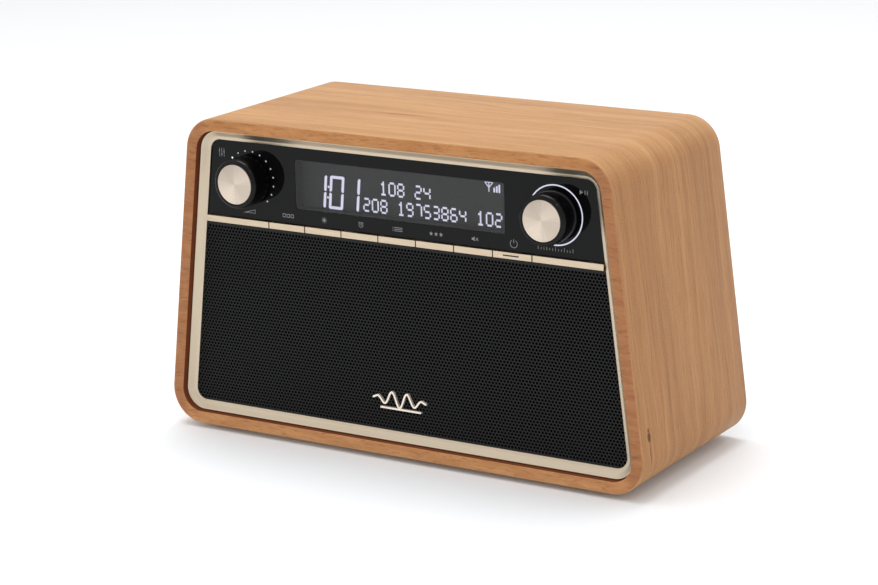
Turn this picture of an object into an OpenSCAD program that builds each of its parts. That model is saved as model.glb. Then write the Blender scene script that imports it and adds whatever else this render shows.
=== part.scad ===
// Tabletop radio in a tapered wooden sleeve, with two speakers behind one grille.
//
// Frame: X to the viewer's right, Y from the front to the back, Z up. The origin is on
// the standing surface, under the middle of the radio's outer box. All sizes are in mm.
//
// The parts are drawn in the cabinet's own coordinates: y = 0 is the front edge of the
// wooden sleeve and z = 0 is its underside. in_cabinet() moves them into the frame.

/* [Cabinet] */
// Width at the underside, measured to where the slanted sides would meet it
cabinet_bottom_w = 267; // [255:1:330]
// Width at the top, measured to where the slanted sides would meet it
cabinet_top_w = 229.5; // [225:0.5:290]
// Height of the wooden sleeve without the feet
cabinet_h = 155; // [145:1:200]
// Depth of the wooden sleeve
cabinet_d = 109; // [100:1:150]
// Thickness of the wooden walls
wall = 6; // [4:0.5:8]
// Outer radius of the four long edges
corner_r = 16.5; // [13.5:0.5:22]
// Size of the square battens glued into the four inner corners
batten = 12; // [9:0.5:14]

/* [Bezel] */
// Gap between the wooden wall and the metal bezel
bezel_gap = 0.3; // [0.3:0.1:2]
// Width of the bezel ring across its face
bezel_w = 4.6; // [4:0.1:5.5]
// How far the bezel's outer edge sits behind the front of the wood
bezel_recess = 3; // [1:0.1:4]
// How far the bezel's inner lip sits behind the bezel's outer edge
lip_drop = 2.3; // [1.8:0.1:4]

/* [Front panel] */
// How far the glossy panel and the grille sit behind the bezel's lip
panel_drop = 0.9; // [0.85:0.05:2]
// Thickness of the glossy panel
fascia_t = 2; // [1.5:0.1:3]
// Thickness of the perforated metal
grille_t = 0.8; // [0.5:0.1:1.2]
// Thickness of the moulded plate that everything at the front is fixed to
chassis_t = 3.8; // [3:0.1:5]
// Width of the display window
display_w = 115.2; // [90:0.1:140]
// Height of the display window
display_h = 24.1; // [18:0.1:28]
// Distance of the display window's centre below the top of the wood
display_drop = 29.05; // [25:0.05:35]

/* [Keys] */
// Distance of the row of keys below the top of the wood
key_row_drop = 50.4; // [46:0.1:62]
// Distance between the centres of two keys
key_pitch = 20.75; // [17:0.05:25]
// Height of a key's face
key_h = 3; // [2.5:0.1:4.5]
// Gap between two keys
key_gap = 0.5; // [0.4:0.05:0.8]
// How far the keys stand in front of the grille
key_proud = 1.8; // [1:0.1:3]
// Travel of a key
key_travel = 0.7; // [0.4:0.1:0.9]

/* [Knobs] */
// Diameter of a knob
knob_d = 24.2; // [20:0.1:30]
// Diameter of the metal disc in a knob's face
knob_cap_d = 19.4; // [15:0.1:23]
// How far a knob stands in front of the glossy panel
knob_proud = 13; // [10:0.1:18]
// Distance of the two knobs' axes from the middle of the radio
knob_x = 84; // [80:0.5:92]
// Distance of the knobs' axes below the top of the wood
knob_drop = 29.3; // [26:0.1:36]
// Diameter of a knob's shaft
shaft_d = 6; // [4:0.1:7]
// Travel of a knob when it is pushed
knob_travel = 0.6; // [0.3:0.1:0.8]
// Distance from a knob's side to the middle of the lights round it
light_gap = 1.8; // [1.2:0.1:3]
// Width of a light
light_w = 0.9; // [0.6:0.1:1.5]

/* [Speakers] */
// Distance of the speakers' axes from the middle of the radio
speaker_x = 60; // [48:1:66]
// Radius of a speaker's flange
speaker_r = 37; // [30:0.5:38]
// Depth of a speaker's basket behind the moulded plate
basket_d = 20; // [16:0.5:26]
// Radius of a speaker's magnet
magnet_r = 22; // [16:0.5:26]

/* [Rear] */
// How far the rear panel sits inside the rear edge of the wood
rear_recess = 1.6; // [1:0.1:4]
// Thickness of the rear panel
rear_t = 3; // [2:0.1:4]
// Distance from the main board to the rear panel
board_gap = 10.8; // [9.5:0.1:16]
// Radius of a 3.5 mm plug socket's hole
jack_r = 1.8; // [1.77:0.01:1.9]

/* [Aerial] */
// Distance of the aerial's pivot from the middle of the radio
aerial_x = 88; // [80:1:92]
// Distance of the aerial's pivot below the top of the wood
aerial_drop = 19; // [18:0.5:26]
// Outer diameter of the aerial's widest tube
aerial_d = 7; // [6:0.1:8]
// Length of the aerial's widest tube
aerial_tube_l = 165; // [120:1:170]
// Gap between the stowed aerial and the rear edge of the wood
aerial_clear = 1.5; // [1:0.1:3]

/* [Feet and fasteners] */
// Height of the rubber feet
foot_h = 2.5; // [1.5:0.1:6]
// Diameter of the rubber feet
foot_d = 16; // [10:0.5:20]
// Diameter of the screws
screw_d = 3; // [2.5:0.1:3.5]

/* [Hidden] */
$fn = 64;

// Clearances
slip = 0.3;          // between two fixed parts
key_slip = 0.4;      // round a key's stem
run = 0.05;          // radial running fit of shafts and tubes
corner_steps = 10;   // straight pieces in each rounded corner

// Slope of the slanted sides
slope = (cabinet_bottom_w - cabinet_top_w) / 2 / cabinet_h;
lean = atan(slope);

// Depths of the front's layers behind the front edge of the wood
lip_y = bezel_recess + lip_drop;
panel_y = lip_y + panel_drop;
chassis_y = panel_y + fascia_t;
chassis_back = chassis_y + chassis_t;
key_y = panel_y - key_proud;

// Insets of the front's layers from the outer surface of the wood
bezel_inset = wall + bezel_gap;
lip_inset = bezel_inset + bezel_w;
bezel_wall = 2.1;
panel_inset = bezel_inset + bezel_wall + slip;

// Heights
key_z = cabinet_h - key_row_drop;
knob_z = cabinet_h - knob_drop;
display_z = cabinet_h - display_drop;
strip_gap = 0.3;
fascia_bottom = key_z + key_h / 2 + strip_gap;
grille_top = key_z - key_h / 2 - strip_gap;
speaker_z = (grille_top + wall) / 2;

// Keys
keys_half = 3.5 * key_pitch;
stem_w = 6;
stem_h = key_h - 1;
stem_flange_w = 9;
stem_flange_t = 1;
key_back = chassis_y - key_travel - slip;

// Knob, shaft and encoder, from the front to the back
knob_front = panel_y - knob_proud;
knob_back = panel_y - knob_travel - key_slip;
cap_t = 1;
rim_r = 1.8;
knob_wall = 2;
hub_r = shaft_d / 2 + 2;
knob_floor = 3.5;
shaft_front = knob_front + 2.5;
bush_r = shaft_d / 2 + 0.75;
bush_front = chassis_y - 1.6;
encoder_w = 12;
encoder_t = 7;
board_y = chassis_back + 10;
board_t = 1.6;
encoder_front = board_y - encoder_t;
shaft_back = board_y - 3;
pin_r = 1.5;
pin_l = 2.2;
nut_w = 10;
nut_t = 1.5;
fascia_hole_r = nut_w / 2 / cos(30) + 0.6;
light_r = knob_d / 2 + light_gap;

// Display and control board
display_border = 2.4;
board_top = min(display_z + display_h / 2 + display_border, cabinet_h - wall - 4);
board_bottom = key_z - 6;
board_half = knob_x + encoder_w / 2 + 4;
switch_w = 6;
switch_t = 3.5;
stem_back = board_y - switch_t - 0.5 - key_travel - slip;

// Rear
rear_y = cabinet_d - rear_recess;
rear_inner = rear_y - rear_t;
main_back = rear_inner - board_gap;
main_y = main_back - board_t;
main_half = 80;
main_bottom = 22;
main_top = 94;
capacitor_r = 5;
capacitor_l = 14;
capacitor_pitch = 13;
capacitor_z = main_top - 16;
fin_pitch = 4;
fin_h = 26;
fin_l = 10;
sink_x = 48;
sink_z = 50;
sink_t = 2;
chip_t = 1.6;
module_t = 4;
socket_z = 34;
dc_x = 52;
headphone_x = -52;
aux_x = -34;
jack_r_out = 3.2;
dc_r_out = 4.6;
boss_r = 4;
socket_recess = 1;

// Screws
screw_r = screw_d / 2;
head_r = screw_r + 1.3;
head_t = 1.8;

// Speakers
cone_r = speaker_r - 9;
flange_t = 1.6;
speaker_y = chassis_back;
magnet_y = speaker_y + basket_d;
magnet_t = 15;
coil_r = 9;
speaker_hole_r = speaker_r - 6;
surround_t = 0.5;
speaker_screw_r = speaker_r - 3;
frame_r = speaker_r - 6;

// Aerial, stowed along -X
aerial_z = cabinet_h - aerial_drop;
aerial_y = cabinet_d + aerial_clear + aerial_d / 2;
tube_wall = 0.45;
tube_step = tube_wall + run;
knuckle_r = aerial_d / 2;
knuckle_t = 5;
ear_t = 1.8;
ear_gap = 0.2;
aerial_pin_r = 1.25;
swivel_r = 2.5;
flange_r = 6.5;
tip_l = 7;

// The radio's outer box runs from the knobs' faces to the aerial's ears
front_reach = -knob_front;
rear_reach = aerial_clear + aerial_d;
front_y = (front_reach - rear_reach - cabinet_d) / 2;

wood = "#d4a87c";
dark_wood = "#b98a5e";
champagne = "#dcc9ae";
gloss_black = "#1a1a1c";
soft_black = "#2a2a2c";
steel = "#c8cacc";
board_green = "#20603a";

// ---------------------------------------------------------------- shared shapes

// Half the width between the slanted sides at height z, inside an even inset
function half_w(z, inset) = cabinet_bottom_w / 2 - z * slope - inset / cos(lean);

function arc(cx, cz, r, a0, a1) = [
    for (i = [0 : corner_steps])
        let (a = a0 + (a1 - a0) * i / corner_steps)
        [cx + r * cos(a), cz + r * sin(a)]
];

// The cabinet's rounded outline, moved inwards by an even inset
function outline(inset) =
    let (low = corner_r,
         high = cabinet_h - corner_r,
         x_low = half_w(low, corner_r),
         x_high = half_w(high, corner_r),
         r = corner_r - inset)
    concat(
        arc(x_low, low, r, -90, lean),
        arc(x_high, high, r, lean, 90),
        arc(-x_high, high, r, 90, 180 - lean),
        arc(-x_low, low, r, 180 - lean, 270));

module in_cabinet() {
    translate([0, front_y, foot_h]) children();
}

// A flat outline drawn in X and Z, as a plate from depth y0 to depth y1
module plate(y0, y1) {
    translate([0, y1, 0]) rotate([90, 0, 0]) linear_extrude(y1 - y0) children();
}

// A round bar along Y
module bar(x, z, r, y0, y1) {
    translate([x, y1, z]) rotate([90, 0, 0]) cylinder(h = y1 - y0, r = r);
}

// A box between two depths, centred on x and z
module block(x, z, w, h, y0, y1) {
    translate([x - w / 2, y0, z - h / 2]) cube([w, y1 - y0, h]);
}

// A turned part: the profile is a list of [radius, depth], turned about Y at x, z
module turned(x, z, profile) {
    translate([x, 0, z]) rotate([-90, 0, 0]) rotate_extrude() polygon(profile);
}

// A cross-section of [inset, depth] points carried round the cabinet's outline
module carried_round(section) {
    rings = [for (p = section) [for (q = outline(p[0])) [q[0], p[1], q[1]]]];
    m = len(section);
    n = len(rings[0]);
    polyhedron(
        points = [for (ring = rings) each ring],
        faces = [
            for (i = [0 : m - 1], j = [0 : n - 1])
                let (i2 = (i + 1) % m, j2 = (j + 1) % n)
                [i * n + j, i2 * n + j, i2 * n + j2, i * n + j2]
        ]);
}

// A flat flexible strip centred on x that sags between two depths
module sagging_strip(x, w, t, y0, z0, y1, z1, sag) {
    steps = 12;
    route = [for (i = [0 : steps]) let (k = i / steps)
        [y0 + (y1 - y0) * k, z0 + (z1 - z0) * k - sag * sin(180 * k)]];
    translate([x - w / 2, 0, 0]) rotate([90, 0, 90]) linear_extrude(w)
        polygon(concat(route, [for (i = [steps : -1 : 0]) route[i] + [0, t]]));
}

// A screw along Y: dir = 1 drives it backwards, dir = -1 drives it forwards
module screw(x, z, head_y, shank_l, dir) {
    y1 = head_y + dir * head_t;
    y2 = y1 + dir * shank_l;
    bar(x, z, head_r, min(head_y, y1), max(head_y, y1));
    bar(x, z, screw_r, min(y1, y2), max(y1, y2));
}

// ---------------------------------------------------------------- fixing places

function corners(x_low, z_low, x_high, z_high) = [
    [x_low, z_low], [-x_low, z_low], [x_high, z_high], [-x_high, z_high]
];

// Screws into the ends of the battens
batten_low_z = wall + batten / 2 + 1;
batten_high_z = cabinet_h - wall - batten / 2 - 1;
batten_screws = corners(
    half_w(batten_low_z, wall + batten / 2 + 1), batten_low_z,
    half_w(batten_high_z, wall + batten / 2 + 1), batten_high_z);

function speaker_screws(side) = [
    for (a = [45 : 90 : 315])
        [side * speaker_x + speaker_screw_r * cos(a), speaker_z + speaker_screw_r * sin(a)]
];

control_screws = corners(
    board_half - 5, board_bottom + 3.5, board_half - 5, board_top - 3.5);

main_screws = corners(
    main_half - 6, main_bottom + 6, main_half - 6, main_top - 6);

// ---------------------------------------------------------------- cabinet

module cabinet_shell() {
    color(wood) in_cabinet() plate(0, cabinet_d) difference() {
        polygon(outline(0));
        polygon(outline(wall));
    }
}

module batten_square(side, z0) {
    x_out = half_w(z0 < cabinet_h / 2 ? z0 : z0 + batten, wall);
    translate([side > 0 ? x_out - batten : -x_out - batten, z0]) square([batten * 2, batten]);
}

module corner_battens() {
    color(dark_wood) in_cabinet() difference() {
        plate(chassis_back, rear_inner) intersection() {
            polygon(outline(wall));
            union() {
                for (side = [-1, 1]) {
                    batten_square(side, wall);
                    batten_square(side, cabinet_h - wall - batten);
                }
            }
        }
        for (p = batten_screws) {
            bar(p[0], p[1], screw_r, chassis_back - 1, chassis_back + 12);
            bar(p[0], p[1], screw_r, rear_inner - 12, rear_inner + 1);
        }
    }
}

module feet() {
    foot_inset = 28;
    color(soft_black) in_cabinet()
        for (x = [-1, 1], y = [foot_d, cabinet_d - foot_d])
            translate([x * (half_w(0, 0) - foot_inset), y, -foot_h])
                cylinder(h = foot_h, d = foot_d);
}

// ---------------------------------------------------------------- front

module bezel_frame() {
    out = bezel_inset;
    edge = 0.6;
    lip = 0.8;
    color(champagne) in_cabinet() carried_round([
        [out, bezel_recess],
        [out + edge, bezel_recess],
        [out + edge + 0.5, bezel_recess + lip_drop * 0.32],
        [out + edge + 1.2, bezel_recess + lip_drop * 0.6],
        [lip_inset - 1, lip_y - 0.35],
        [lip_inset, lip_y],
        [lip_inset, lip_y + lip],
        [out + bezel_wall, lip_y + lip],
        [out + bezel_wall, chassis_y],
        [out, chassis_y]
    ]);
}

module front_chassis() {
    rib_t = 1.5;
    color(soft_black) in_cabinet() difference() {
        union() {
            plate(chassis_y, chassis_back) polygon(outline(bezel_inset));
            for (side = [-1, 1])
                plate(chassis_back, chassis_back + 8) translate([side * speaker_x, speaker_z])
                    difference() {
                        circle(speaker_r + slip + rib_t);
                        circle(speaker_r + slip);
                    }
            for (p = control_screws)
                bar(p[0], p[1], boss_r - 1, chassis_back, board_y);
        }
        block(0, display_z, display_w, display_h, chassis_y - 1, chassis_back + 1);
        for (side = [-1, 1]) {
            bar(side * knob_x, knob_z, bush_r + 0.15, chassis_y - 1, chassis_back + 1);
            bar(side * speaker_x, speaker_z, speaker_hole_r, chassis_y - 1, chassis_back + 1);
            for (p = speaker_screws(side))
                bar(p[0], p[1], screw_r, chassis_back - 2.8, chassis_back + 1);
        }
        for (i = [-3 : 3])
            block(i * key_pitch, key_z, stem_w + 2 * key_slip, stem_h + 2 * key_slip,
                  chassis_y - 1, chassis_back + 1);
        for (p = control_screws)
            bar(p[0], p[1], screw_r, board_y - 8, board_y + 1);
        for (p = batten_screws) {
            bar(p[0], p[1], screw_r + run, chassis_y - 1, chassis_back + 1);
            bar(p[0], p[1], head_r + run, chassis_y - 1, chassis_y + head_t);
        }
    }
}

module fascia_panel() {
    groove = 0.6;
    color(gloss_black) in_cabinet() difference() {
        plate(panel_y, chassis_y) intersection() {
            polygon(outline(panel_inset));
            translate([-cabinet_bottom_w, fascia_bottom])
                square([2 * cabinet_bottom_w, cabinet_h]);
        }
        for (side = [-1, 1])
            bar(side * knob_x, knob_z, fascia_hole_r, panel_y - 1, chassis_y + 1);
        for (a = light_angles)
            bar(-knob_x + light_r * cos(a), knob_z + light_r * sin(a), light_w / 2,
                panel_y - 1, panel_y + groove);
        plate(panel_y - 1, panel_y + groove) translate([knob_x, knob_z]) difference() {
            circle(light_r + light_w / 2);
            circle(light_r - light_w / 2);
        }
    }
}

// Sixteen dots, from lower left clockwise to lower right
light_angles = [for (i = [0 : 15]) 225 - 18 * i];

module volume_light_dots() {
    color("white") in_cabinet()
        for (a = light_angles)
            bar(-knob_x + light_r * cos(a), knob_z + light_r * sin(a), light_w / 2,
                panel_y, panel_y + 0.6);
}

module tuning_light_ring() {
    color("white") in_cabinet() plate(panel_y, panel_y + 0.6) translate([knob_x, knob_z])
        difference() {
            circle(light_r + light_w / 2);
            circle(light_r - light_w / 2);
        }
}

module display_module() {
    glass_t = 3;
    color(soft_black) in_cabinet() {
        block(0, display_z, display_w + 2 * display_border, display_h + 2 * display_border,
              chassis_back, chassis_back + glass_t);
        block(0, display_z, display_w - 4, display_h + 2, chassis_back + glass_t, board_y);
    }
}

module below_keys(inset, top) {
    intersection() {
        polygon(outline(inset));
        translate([-cabinet_bottom_w, -1]) square([2 * cabinet_bottom_w, top + 1]);
    }
}

module speaker_grille() {
    color(soft_black) in_cabinet()
        plate(panel_y, panel_y + grille_t) below_keys(panel_inset, grille_top);
}

module grille_cloth() {
    color("#101011") in_cabinet()
        plate(panel_y + grille_t, chassis_y) below_keys(panel_inset + 1, grille_top - 1);
}

// A plain badge: a bent metal wire in the shape of a swelling sound wave, over a line
module badge() {
    badge_w = 30;
    badge_x = -1;
    wave_z = 26.6;
    line_z = 21.6;
    wire = 0.9;
    badge_t = 1.4;
    turns = 3.5;
    steps = 84;
    function wave_h(k) = 3.9 * sin(180 * k);
    function wave(k) = [badge_w * (k - 0.5), wave_h(k) * sin(360 * turns * k)];
    function along(k) = let (d = wave(k + 0.001) - wave(k - 0.001)) d / norm(d);
    function beside(k, side) = wave(k) + side * wire / 2 * [-along(k)[1], along(k)[0]];
    color(champagne) in_cabinet() plate(panel_y - badge_t, panel_y) {
        translate([badge_x, wave_z]) polygon(concat(
            [for (i = [0 : steps]) beside(i / steps, 1)],
            [for (i = [steps : -1 : 0]) beside(i / steps, -1)]));
        translate([badge_x - badge_w * 0.36, line_z]) square([badge_w * 0.76, wire]);
    }
}

module trim_bar(side) {
    x_in = keys_half + key_gap / 2;
    x_out = half_w(key_z + key_h / 2, lip_inset) - slip;
    color(champagne) in_cabinet()
        block(side * (x_in + x_out) / 2, key_z, x_out - x_in, key_h, key_y, chassis_y);
}

module left_trim_bar() { trim_bar(-1); }
module right_trim_bar() { trim_bar(1); }

// ---------------------------------------------------------------- keys

module key(index) {
    x = index * key_pitch;
    flange_y = chassis_back + key_slip;
    color(champagne) in_cabinet() {
        block(x, key_z, key_pitch - key_gap, key_h, key_y, key_back);
        block(x, key_z, stem_w, stem_h, key_back, stem_back);
        block(x, key_z, stem_flange_w, stem_h, flange_y, flange_y + stem_flange_t);
    }
}

module mode_key() { key(-3); }
module dimmer_key() { key(-2); }
module alarm_key() { key(-1); }
module menu_key() { key(0); }
module preset_key() { key(1); }
module mute_key() { key(2); }

lens_w = 8.2;
lens_h = 0.5;
lens_t = 0.6;

module power_key() {
    difference() {
        key(3);
        in_cabinet() block(3 * key_pitch - 0.7, key_z, lens_w, lens_h, key_y - 1, key_y + lens_t);
    }
}

module power_key_lens() {
    color(gloss_black) in_cabinet()
        block(3 * key_pitch - 0.7, key_z, lens_w, lens_h, key_y, key_y + lens_t);
}

module tact_switches() {
    color(soft_black) in_cabinet()
        for (i = [-3 : 3]) {
            block(i * key_pitch, key_z, switch_w, switch_w, board_y - switch_t, board_y);
            bar(i * key_pitch, key_z, 1.7, board_y - switch_t - 0.5, board_y - switch_t);
        }
}

// ---------------------------------------------------------------- knobs

module knob_body(side) {
    r = knob_d / 2;
    cap_r = knob_cap_d / 2;
    // Quarter-round rim, from the face to the side
    rim = [for (a = [0 : 15 : 90]) [r - rim_r + rim_r * sin(a), knob_front + rim_r - rim_r * cos(a)]];
    color(gloss_black) in_cabinet() turned(side * knob_x, knob_z, concat(
        [[0, knob_front + cap_t],
         [cap_r + 0.1, knob_front + cap_t],
         [cap_r + 0.1, knob_front + 0.15],
         [cap_r + 0.4, knob_front]],
        rim,
        [[r, knob_back],
         [r - knob_wall, knob_back],
         [r - knob_wall, knob_front + knob_floor],
         [hub_r, knob_front + knob_floor],
         [hub_r, knob_back],
         [shaft_d / 2, knob_back],
         [shaft_d / 2, shaft_front],
         [0, shaft_front]]));
}

module knob_cap(side) {
    color(champagne) in_cabinet()
        bar(side * knob_x, knob_z, knob_cap_d / 2, knob_front + 0.1, knob_front + cap_t);
}

module knob_shaft(side) {
    color(steel) in_cabinet()
        bar(side * knob_x, knob_z, shaft_d / 2, shaft_front, shaft_back);
}

module encoder(side) {
    shaft_hole = shaft_back + knob_travel + 0.2;
    color(steel) in_cabinet() difference() {
        union() {
            block(side * knob_x, knob_z, encoder_w, encoder_w, encoder_front, board_y);
            bar(side * knob_x, knob_z, bush_r, bush_front, encoder_front);
        }
        bar(side * knob_x, knob_z, shaft_d / 2 + run, bush_front - 1, shaft_hole);
        bar(side * knob_x, knob_z, pin_r + run, shaft_hole - 0.5, board_y + 1);
    }
}

module push_pin(side) {
    color(steel) in_cabinet()
        bar(side * knob_x, knob_z, pin_r, shaft_back, shaft_back + pin_l);
}

module encoder_nuts() {
    color(steel) in_cabinet()
        for (side = [-1, 1])
            plate(chassis_y - nut_t, chassis_y) translate([side * knob_x, knob_z]) difference() {
                circle(r = nut_w / 2 / cos(30), $fn = 6);
                circle(bush_r);
            }
}

module volume_knob_body() { knob_body(-1); }
module volume_knob_cap() { knob_cap(-1); }
module volume_shaft() { knob_shaft(-1); }
module volume_encoder() { encoder(-1); }
module volume_push_pin() { push_pin(-1); }
module tuning_knob_body() { knob_body(1); }
module tuning_knob_cap() { knob_cap(1); }
module tuning_shaft() { knob_shaft(1); }
module tuning_encoder() { encoder(1); }
module tuning_push_pin() { push_pin(1); }

// ---------------------------------------------------------------- electronics

module control_board() {
    color(board_green) in_cabinet() difference() {
        block(0, (board_top + board_bottom) / 2, 2 * board_half, board_top - board_bottom,
              board_y, board_y + board_t);
        for (p = control_screws)
            bar(p[0], p[1], screw_r + run, board_y - 1, board_y + board_t + 1);
    }
}

module main_board() {
    color(board_green) in_cabinet() difference() {
        block(0, (main_top + main_bottom) / 2, 2 * main_half, main_top - main_bottom,
              main_y, main_back);
        for (p = main_screws)
            bar(p[0], p[1], screw_r + run, main_y - 1, main_back + 1);
    }
}

// Four capacitors, two chips and a finned heat sink
module board_components() {
    color("#33353a") in_cabinet() {
        for (i = [0 : 3])
            bar(22 + i * capacitor_pitch, capacitor_z, capacitor_r,
                main_y - capacitor_l, main_y);
        block(-18, 42, 14, 14, main_y - chip_t, main_y);
        block(12, 40, 9, 9, main_y - chip_t, main_y);
        for (i = [-2.5 : 2.5])
            block(sink_x + i * fin_pitch, sink_z, 1.6, fin_h,
                  main_y - sink_t - fin_l, main_y - sink_t);
        block(sink_x, sink_z, 24, fin_h, main_y - sink_t, main_y);
    }
}

// Screened tuner
module radio_module() {
    color(steel) in_cabinet() block(-54, 70, 34, 24, main_y - module_t, main_y);
}

// Flat cable between the two boards
module ribbon_cable() {
    color("#8d9096") in_cabinet()
        sagging_strip(0, 24, 0.8, board_y + board_t, board_bottom + 8, main_y, main_top - 4, 6);
}

// A flat twin lead from each speaker's tab to the main board, below the capacitors
module speaker_leads() {
    lead_end_z = capacitor_z - capacitor_r - 8.6;
    color("#a03030") in_cabinet()
        for (side = [-1, 1])
            sagging_strip(side * (speaker_x - magnet_r - 6), 2.6, 1.3,
                          magnet_y, speaker_z + 8, main_y, lead_end_z, 5);
}

// ---------------------------------------------------------------- speakers

module speaker_basket(side) {
    y = speaker_y;
    back = magnet_y;
    t = flange_t;
    color(soft_black) in_cabinet() {
        difference() {
            turned(side * speaker_x, speaker_z, [
                [frame_r - 1.5, y],
                [speaker_r, y],
                [speaker_r, y + t],
                [frame_r, y + t],
                [frame_r, y + basket_d * 0.45],
                [magnet_r - 1, back],
                [coil_r + 2, back],
                [coil_r + 2, back - t],
                [magnet_r - 2.2, back - t],
                [frame_r - 1.5, y + basket_d * 0.4]
            ]);
            for (p = speaker_screws(side))
                bar(p[0], p[1], screw_r + run, y - 1, y + t + 1);
        }
        // Tab for the two leads
        block(side * (speaker_x - magnet_r - 5.5), speaker_z + 8, 11, 5, back - 1, back);
    }
}

module speaker_magnet(side) {
    y = magnet_y;
    color("#3c3c3e") in_cabinet() turned(side * speaker_x, speaker_z, [
        [coil_r + 1.5, y],
        [magnet_r - 2, y],
        [magnet_r - 2, y + 3],
        [magnet_r, y + 3],
        [magnet_r, y + magnet_t - 3],
        [magnet_r - 2, y + magnet_t - 3],
        [magnet_r - 2, y + magnet_t],
        [0, y + magnet_t],
        [0, y + 1],
        [coil_r - 2, y + 1],
        [coil_r - 2, y + magnet_t - 3],
        [coil_r + 1.5, y + magnet_t - 3]
    ]);
}

// Paper cone with its dust cap and voice coil
module speaker_cone(side) {
    t = 0.6;
    y = speaker_y + 2.5;
    neck = magnet_y - 5;
    dome = 3.5;
    cap = [for (a = [0 : 15 : 75]) [coil_r * sin(a) / sin(75), neck - 1 - dome * (cos(a) - cos(75))]];
    color("#2b2b2b") in_cabinet() turned(side * speaker_x, speaker_z, concat(
        cap,
        [[cone_r, y],
         [cone_r, y + t],
         [coil_r + 0.5, neck + t],
         [coil_r + 0.5, magnet_y + 4],
         [coil_r - 0.5, magnet_y + 4],
         [coil_r - 0.5, neck],
         [0, neck]]));
}

// Half-round rubber edge between the basket and the cone
module speaker_surround(side) {
    t = surround_t;
    y = speaker_y - t;
    inner = cone_r + slip;
    outer = speaker_hole_r - slip;
    mid = (inner + outer) / 2;
    roll = (outer - inner) / 2;
    over = [for (a = [180 : -15 : 0]) [mid + roll * cos(a), y - roll * sin(a)]];
    under = [for (a = [0 : 15 : 180]) [mid + (roll - t) * cos(a), y + t - (roll - t) * sin(a)]];
    color("#202022") in_cabinet() turned(side * speaker_x, speaker_z, concat(over, under));
}

module left_speaker_basket() { speaker_basket(-1); }
module left_speaker_magnet() { speaker_magnet(-1); }
module left_speaker_cone() { speaker_cone(-1); }
module left_speaker_surround() { speaker_surround(-1); }
module right_speaker_basket() { speaker_basket(1); }
module right_speaker_magnet() { speaker_magnet(1); }
module right_speaker_cone() { speaker_cone(1); }
module right_speaker_surround() { speaker_surround(1); }

// ---------------------------------------------------------------- rear

module rear_panel() {
    vent_l = 30;
    vent_w = 2.6;
    vent_z = 112;
    color(soft_black) in_cabinet() difference() {
        union() {
            plate(rear_inner, rear_y) polygon(outline(wall + slip));
            for (p = main_screws)
                bar(p[0], p[1], boss_r, main_back, rear_inner);
        }
        for (p = main_screws)
            bar(p[0], p[1], screw_r, main_back - 1, rear_inner - 1);
        for (p = batten_screws)
            bar(p[0], p[1], screw_r + run, rear_inner - 1, rear_y + 1);
        for (i = [-8 : 8])
            block(i * 6, vent_z, vent_w, vent_l, rear_inner - 1, rear_y + 1);
        block((headphone_x + aux_x) / 2, socket_z, 40, 18, rear_y - socket_recess, rear_y + 1);
        block(dc_x, socket_z, 22, 18, rear_y - socket_recess, rear_y + 1);
        for (x = [headphone_x, aux_x])
            bar(x, socket_z, jack_r_out + 0.1, rear_inner - 1, rear_y + 1);
        bar(dc_x, socket_z, dc_r_out + 0.1, rear_inner - 1, rear_y + 1);
        bar(aerial_x, aerial_z, swivel_r + run, rear_inner - 1, rear_y + 1);
    }
}

module jack_socket(x) {
    mouth = rear_y - socket_recess;
    color("#1c1c1e") in_cabinet() difference() {
        union() {
            block(x, socket_z, 9, 8, main_back, rear_inner);
            bar(x, socket_z, jack_r_out, rear_inner, mouth);
        }
        bar(x, socket_z, jack_r, main_back + 1, mouth + 1);
    }
}

module headphone_socket() { jack_socket(headphone_x); }
module aux_socket() { jack_socket(aux_x); }

// Round power inlet with its centre pin
module dc_socket() {
    mouth = rear_y - socket_recess;
    color("#1c1c1e") in_cabinet() {
        difference() {
            union() {
                block(dc_x, socket_z, 11, 11, main_back, rear_inner);
                bar(dc_x, socket_z, dc_r_out, rear_inner, mouth);
            }
            bar(dc_x, socket_z, 2.9, main_back + 2, mouth + 1);
        }
        bar(dc_x, socket_z, 1, main_back + 2, mouth - 1);
    }
}

module inner_screws() {
    color(steel) in_cabinet() {
        for (p = batten_screws)
            screw(p[0], p[1], chassis_y, 10, 1);
        for (side = [-1, 1], p = speaker_screws(side))
            screw(p[0], p[1], speaker_y + flange_t + head_t, flange_t + 2.5, -1);
        for (p = control_screws)
            screw(p[0], p[1], board_y + board_t + head_t, 8, -1);
        for (p = main_screws)
            screw(p[0], p[1], main_y - head_t, 8, 1);
    }
}

module rear_screws() {
    color(steel) in_cabinet()
        for (p = batten_screws)
            screw(p[0], p[1], rear_y + head_t, 12, -1);
}

// ---------------------------------------------------------------- aerial

// Swivel with two ears; its stem turns in the rear panel behind a collar
module aerial_base() {
    ear_in = knuckle_t / 2 + ear_gap;
    ear_w = 2 * knuckle_r;
    foot_y = rear_y + slip;
    ear_y = cabinet_d + 0.3;
    color(steel) in_cabinet() difference() {
        union() {
            bar(aerial_x, aerial_z, flange_r, foot_y, ear_y);
            bar(aerial_x, aerial_z, swivel_r, rear_inner - 3, foot_y);
            bar(aerial_x, aerial_z, swivel_r + 1.5, rear_inner - 3, rear_inner - slip);
            for (s = [-1, 1])
                translate([aerial_x, 0, aerial_z + s * (ear_in + ear_t / 2)]) {
                    translate([-ear_w / 2, ear_y - 0.5, -ear_t / 2])
                        cube([ear_w, aerial_y - ear_y + 0.5, ear_t]);
                    translate([0, aerial_y, -ear_t / 2]) cylinder(h = ear_t, r = knuckle_r);
                }
        }
        translate([aerial_x, aerial_y, aerial_z - 20]) cylinder(h = 40, r = aerial_pin_r);
        // Room for the knuckle to turn
        translate([aerial_x, aerial_y, aerial_z - ear_in])
            cylinder(h = 2 * ear_in, r = knuckle_r + ear_gap);
    }
}

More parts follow.
